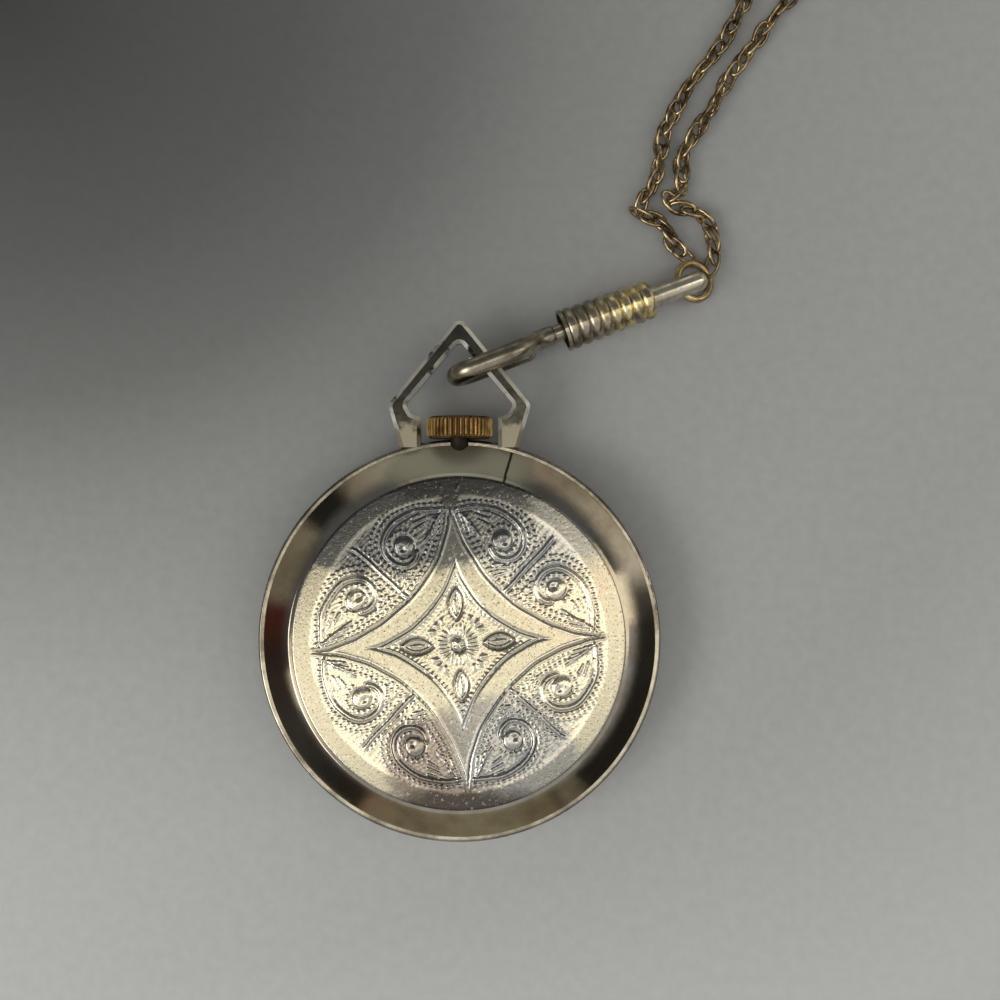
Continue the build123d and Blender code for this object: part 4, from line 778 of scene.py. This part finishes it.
# Height of the pressed pattern over the dome. Here a runs out along the nearest point of the star
# and b beside it, and both are folded into the one eighth that is drawn.
def pressed(x, y):
    turned_x = x * math.cos(pattern_turn) + y * math.sin(pattern_turn)
    turned_y = y * math.cos(pattern_turn) - x * math.sin(pattern_turn)
    star_tip = np.where(turned_y > abs(turned_x), *star_tips)
    turned_x, turned_y = wavered(turned_x, turned_y)
    b = np.minimum(abs(turned_x), abs(turned_y))
    a = np.maximum(abs(turned_x), abs(turned_y))
    points = np.stack((b, a), axis=1)
    out = np.hypot(b, a)

    star = np.hypot(a - outer_star[0], b - outer_star[0]) - outer_star[1]
    star = np.maximum(star, (a - star_tip) / 2 - b)
    core = np.hypot(a - inner_star[0], b - inner_star[0]) - inner_star[1]
    core = np.where(a > inner_star[0], -1.0, core)
    field = step_up(-star, 0.2, 0.3) * step_up(field_end - out, 0.0, 0.5)
    heart = step_up(core, 0.2, 0.25)
    along_divider = (a + b) * math.sqrt(0.5)
    off_divider = (a - b) * math.sqrt(0.5)
    divider = step_up(along_divider, divider_start, 0.3) * step_up(divider_end - along_divider, 0.0, 0.4)

    lift = star_height * step_up(star, 0.0, 0.3) * step_up(-core, 0.0, 0.3)
    lift += step_up(star_tip - a, 0.0, 0.6) * ridges(star, star_edges)
    lift += ridges(core, core_edges)
    lift += divider * ridges(off_divider, divider_edges)
    lift += field * ridges(to_line(points, scroll_line(0.0)), scroll_edges)
    for stroke in strokes:
        lift += field * ridges(to_line(points, stroke), stroke_edges)
    lift += eye_lift(points)
    lift += bead_lift(points) * np.maximum(field, heart)
    lift += stipple_lift(a, b) * (0.6 * field + heart) - field_depth * field - heart_depth * heart
    lift += leaf_lift(a, b) + flower_lift(a, b, out)
    beyond_tip = step_up(a - star_tip, -0.1, 0.3) * step_up(0.9 - b, 0.0, 0.4)
    return lift * (1 - beyond_tip) * step_up(pattern_end - out, 0.0, 0.6)


cover_shape = bmesh.new()
bmesh.ops.create_grid(cover_shape, x_segments=cover_cells, y_segments=cover_cells, size=1.0)
square_x, square_y = np.array([vertex.co[:2] for vertex in cover_shape.verts]).T
sideways = abs(square_x) >= abs(square_y)
reach = np.where(sideways, square_x, square_y)
with np.errstate(divide="ignore", invalid="ignore"):
    turn = np.where(
        sideways, square_y / square_x * math.pi / 4, math.pi / 2 - square_x / square_y * math.pi / 4
    )
turn = np.nan_to_num(turn)
disc_x = cover_radius * reach * np.cos(turn)
disc_y = cover_radius * reach * np.sin(turn)
out = np.hypot(disc_x, disc_y)
flat_radius = cover_radius - cover_round
dome = cover_flat + cover_rise * (1 - np.minimum(out / flat_radius, 1) ** 2)
over_edge = np.clip(out - flat_radius, 0, None)
edge_drop = cover_round - np.sqrt(np.clip(cover_round**2 - over_edge**2, 0, None))
pattern = pressed(disc_x, disc_y)
tops = dome - edge_drop + pattern
for vertex, x, y, z in zip(cover_shape.verts, disc_x, disc_y, tops):
    vertex.co = (x * mm, y * mm, z * mm)
rim = [edge for edge in cover_shape.edges if edge.is_boundary]
for radius, level in (
    (cover_radius, cover_seat),
    (spigot_radius, cover_seat),
    (spigot_radius, cover_seat - spigot_depth),
    (spigot_radius - spigot_wall, cover_seat - spigot_depth),
    (spigot_radius - spigot_wall, cover_seat),
):
    grown = bmesh.ops.extrude_edge_only(cover_shape, edges=rim)["geom"]
    rim = [item for item in grown if isinstance(item, bmesh.types.BMEdge)]
    for vertex in {vertex for edge in rim for vertex in edge.verts}:
        outward = Vector((vertex.co.x, vertex.co.y, 0.0)).normalized() * radius * mm
        vertex.co = (outward.x, outward.y, level * mm)
bmesh.ops.edgeloop_fill(cover_shape, edges=rim)
bmesh.ops.recalc_face_normals(cover_shape, faces=cover_shape.faces)
for face in cover_shape.faces:
    face.smooth = True
cover_mesh = bpy.data.meshes.new("embossed_cover")
cover_shape.to_mesh(cover_mesh)
cover_shape.free()
cover_mesh.set_sharp_from_angle(angle=math.radians(60.0))
cover = add_object("embossed_cover", cover_mesh)


def store_share(mesh, name, share):
    values = np.zeros(len(mesh.vertices), dtype=np.float32)
    values[: len(share)] = share
    mesh.attributes.new(name, "FLOAT", "POINT").data.foreach_set("value", values)


def stored_share(tree, name):
    layer = tree.nodes.new("ShaderNodeAttribute")
    layer.attribute_name = name
    return layer.outputs["Fac"]


# Grime lies where the pattern goes deeper than a little under the dome, and the smooth star and
# margin are given a darker colour
grime_start = 0.02
grime_per_mm = 9.0
smooth_low, smooth_high = -0.004, 0.036
store_share(cover_mesh, "recess", np.clip((-pattern - grime_start) * grime_per_mm, 0, 1))
store_share(cover_mesh, "smooth_part", (pattern > smooth_low) & (pattern < smooth_high))

silver_cream = (0.92, 0.87, 0.71)
smooth_part_tone = (0.64, 0.64, 0.63)
glint_silver = (0.75, 0.76, 0.74)
glint_share = 0.5
pit_brown = (0.12, 0.1, 0.07)
pit_share = 0.75
grime_brown = (0.09, 0.075, 0.055)
# Painted reflections: patches where the silver's colour is darkened or brightened to stand for the room
# mirrored in the cover. For each: the patch's middle, its half width and height, how soft its edge is,
# and its colour
painted_reflection_patches = [
    (9.5, 4.5, 4.5, 5.5, 0.5, (0.98, 0.87, 0.7)),
    (4.0, -10.2, 7.0, 5.6, 0.16, (0.52, 0.52, 0.51)),
    (-3.2, -10.6, 3.4, 4.4, 0.3, (0.4, 0.355, 0.315)),
    (6.5, 14.0, 8.0, 9.0, 0.14, (0.6, 0.6, 0.58)),
    (-0.5, -16.4, 9.5, 3.6, 0.25, (0.15, 0.13, 0.12)),
    (-6.5, 22.0, 17.0, 16.3, 0.06, (0.22, 0.225, 0.23)),
    (0.0, 17.5, 13.0, 5.2, 0.12, (0.13, 0.13, 0.13)),
]
silver, tree, shader = new_material("pressed_silver", metallic=1.0)
cloud = place_noise(tree, 330.0, 6.0, 0.66)
speck = place_noise(tree, 2600.0, 4.0, 0.7)


def reflection_patch(tree, x, y, wide, tall, soft):
    least_ragged, ragged_share = 0.35, 2.6
    stretch = (1 / (wide * mm), 1 / (tall * mm), 0.0)
    from_middle = stretched_distance(tree, stretch, (-x / wide, -y / tall, 0.0))
    uneven = calculated(tree, "SUBTRACT", cloud, 0.5)
    uneven = calculated(tree, "MULTIPLY", uneven, least_ragged + ragged_share * soft)
    return blend_over(tree, calculated(tree, "ADD", from_middle, uneven), 1 + soft, 1 - soft)


# The painted reflections are laid over the silver's colour one by one
plain = silver_cream
for *patch, tone in painted_reflection_patches:
    plain = mixed(tree, reflection_patch(tree, *patch), plain, tone)
darkened_smooth = mixed(tree, 1.0, plain, smooth_part_tone, "MULTIPLY")
plain = mixed(tree, stored_share(tree, "smooth_part"), plain, darkened_smooth)
glints = blend_over(tree, speck, 0.42, 0.34)
plain = mixed(tree, calculated(tree, "MULTIPLY", glints, glint_share), plain, glint_silver)
pits = blend_over(tree, place_noise(tree, 5200.0, 2.0), 0.61, 0.67)
plain = mixed(tree, calculated(tree, "MULTIPLY", pits, pit_share), plain, pit_brown)
patchy = calculated(tree, "ADD", cloud, 0.4)
grime = calculated(tree, "MULTIPLY", stored_share(tree, "recess"), patchy, clamp=True)
tree.links.new(mixed(tree, grime, plain, grime_brown), shader.inputs["Base Color"])
rough = calculated(tree, "ADD", calculated(tree, "MULTIPLY", speck, 0.2), 0.1)
tree.links.new(rough, shader.inputs["Roughness"])
grain_relief(tree, shader, speck, 0.5, 0.03 * mm)
cover_mesh.materials.append(silver)
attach(cover, "back_lid")
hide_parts("back_cover")


# Crown: a knurled brass knob that screws on the winding stem. Its flutes are rubbed bright and the
# grooves between them are full of dark grime.
crown_height = 4.7 * mm
crown_round = 2.78
groove_out, groove_in = 0.1, 0.05
groove_grime = (0.1, 0.055, 0.03)
crown_gold = worn_metal("crown_gold", (0.45, 0.31, 0.12), (0.15, 0.09, 0.035), 0.25, patch=500.0)
tree = crown_gold.node_tree
from_axis = stretched_distance(tree, (1.0, 0.0, 1.0), (0.0, 0.0, -crown_height))
groove = blend_over(tree, from_axis, (crown_round + groove_out) * mm, (crown_round - groove_in) * mm)
paint_over(crown_gold, groove, groove_grime)
dress(crown_gold, "crown")


# Clasp: a nickelled hook and eye, a ribbed sleeve whose plating has worn through to the brass at
# its rear end, and a brass jump ring that hangs in the eye.
sleeve_mouth = (9.3 * mm, 27.79 * mm, 4.1 * mm)
sleeve_way = (0.9341, 0.352, -0.0593)
bared_brass = (0.76, 0.64, 0.34)
bared_patch = 1100.0
bared_from, bared_until = 0.36, 0.54
finish = {"patch": 520.0, "bump": 0.3, "grain": 1900.0}
dress(
    worn_metal("clasp_nickel", (0.42, 0.385, 0.31), (0.19, 0.16, 0.12), 0.22, **finish), "clasp_hook"
)
# The eye's nickel is the hook's made about twice as bright: the extra brightness is a painted highlight
dress(worn_metal("eye_nickel_painted_highlight", (0.85, 0.79, 0.66), (0.42, 0.37, 0.29), 0.24, **finish), "clasp_eye")
finish |= {"patch": 620.0, "balance": 0.52}
sleeve_gilt = worn_metal("sleeve_gilt", (0.46, 0.41, 0.33), (0.2, 0.165, 0.11), 0.24, **finish)
tree = sleeve_gilt.node_tree
bared = overlap(
    tree,
    past_plane(sleeve_gilt, sleeve_mouth, sleeve_way, low=2.6, high=6.0, ragged=5.0),
    blend_over(tree, place_noise(tree, bared_patch), bared_from, bared_until),
)
paint_over(sleeve_gilt, bared, bared_brass)
dress(sleeve_gilt, "clasp_sleeve")
dress(worn_metal("ring_brass", (0.7, 0.56, 0.3), (0.32, 0.22, 0.12), 0.22, patch=520.0), "jump_ring")


# Sleeve's spring: seven turns of steel wire on the core pin. Its front end is pushed back with the
# sleeve and its rear end stands against the collar.
spring_wire = 0.12 * mm
spring_radius = 0.85 * mm
spring_front = 2.27 * mm
spring_back = 5.83 * mm
spring_turns = 7
spring_steps = 20 * spring_turns
spring_wire_sides = 8
way = Vector(sleeve_way).normalized()
spring_frame = Matrix.Translation(sleeve_mouth) @ way.to_track_quat("Z", "Y").to_matrix().to_4x4()
wire_place = Matrix.Translation((spring_radius, 0.0, spring_front)) @ Matrix.Rotation(math.pi / 2, 4, "X")
spring_shape = bmesh.new()
bmesh.ops.create_circle(
    spring_shape, segments=spring_wire_sides, radius=spring_wire, matrix=wire_place
)
bmesh.ops.spin(
    spring_shape,
    geom=spring_shape.verts[:] + spring_shape.edges[:],
    cent=(0, 0, 0),
    axis=(0, 0, 1),
    dvec=(0, 0, (spring_back - spring_front) / spring_steps),
    angle=2 * math.pi * spring_turns,
    steps=spring_steps,
)
wire_ends = [edge for edge in spring_shape.edges if edge.is_boundary]
bmesh.ops.holes_fill(spring_shape, edges=wire_ends, sides=0)
bmesh.ops.recalc_face_normals(spring_shape, faces=spring_shape.faces)
for face in spring_shape.faces:
    face.smooth = len(face.verts) == 4
spring_shape.transform(spring_frame)
spring_mesh = bpy.data.meshes.new("sleeve_spring")
spring_shape.to_mesh(spring_mesh)
spring_shape.free()
spring_mesh.materials.append(worn_metal("spring_steel", (0.6, 0.6, 0.6), (0.45, 0.43, 0.4), 0.2))
sleeve_spring = add_object("sleeve_spring", spring_mesh)
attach(sleeve_spring, "clasp")
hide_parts("clasp_spring")
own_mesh(sleeve_spring)


# Front: a flat crystal in its gasket, over an enamelled dial with applied gilt hour batons and
# two gilt hands on the motion work's pipes.
def clear_material(name, colour, roughness, clear_share, bending):
    material, _, shader = new_material(name, colour, 0.0, roughness)
    shader.inputs["Transmission Weight"].default_value = clear_share
    shader.inputs["IOR"].default_value = bending
    return material


dress(clear_material("crystal_glass", (1.0, 1.0, 1.0), 0.02, 1.0, 1.49), "crystal")
dress(new_material("gasket_nylon", (0.8, 0.79, 0.74), 0.0, 0.5)[0], "crystal_gasket")
enamel, tree, shader = new_material("dial_enamel", roughness=0.3)
fresh_enamel, yellowed_enamel = (0.9, 0.88, 0.82), (0.82, 0.79, 0.71)
enamel_colour = mixed(tree, place_noise(tree, 500.0, 5.0), fresh_enamel, yellowed_enamel)
tree.links.new(enamel_colour, shader.inputs["Base Color"])
dress(enamel, "dial")
dress(
    worn_metal("hand_gilt", (0.8, 0.6, 0.25), (0.6, 0.42, 0.18), 0.2),
    "hour_markers", "hour_hand", "minute_hand",
)


# Movement: gilt brass plates, bridges and wheels, polished steel work, ruby jewels, a bright
# balance and a blued hairspring.
dress(
    worn_metal("movement_brass", (0.8, 0.66, 0.38), (0.66, 0.52, 0.28), 0.3, patch=700.0),
    "mainplate", "barrel_bridge", "train_bridge", "pallet_bridge", "balance_cock", "barrel",
    "barrel_lid", "centre_wheel", "third_wheel", "fourth_wheel", "hour_wheel", "minute_wheel",
    "movement_ring", "casing_clamps",
)
dress(worn_metal("balance_metal", (0.85, 0.68, 0.4), (0.75, 0.58, 0.32), 0.18), "balance_wheel")
dress(worn_metal("blued_steel", (0.08, 0.12, 0.4), (0.05, 0.06, 0.2), 0.2), "hairspring")
dress(
    worn_metal("movement_steel", (0.62, 0.62, 0.63), (0.5, 0.49, 0.48), 0.2, patch=700.0),
    "clamp_screws", "bridge_screws", "pallet_screws", "mainspring", "barrel_arbor", "ratchet_wheel",
    "ratchet_screw", "crown_wheel", "crown_wheel_screw", "click", "click_screw", "cannon_pinion",
    "escape_wheel", "pallet_fork", "winding_stem", "winding_pinion", "sliding_clutch",
    "setting_lever", "clutch_lever", "lever_screws",
)
dress(clear_material("ruby", (0.7, 0.03, 0.12), 0.05, 0.6, 1.76), "jewels", "pallet_stones")
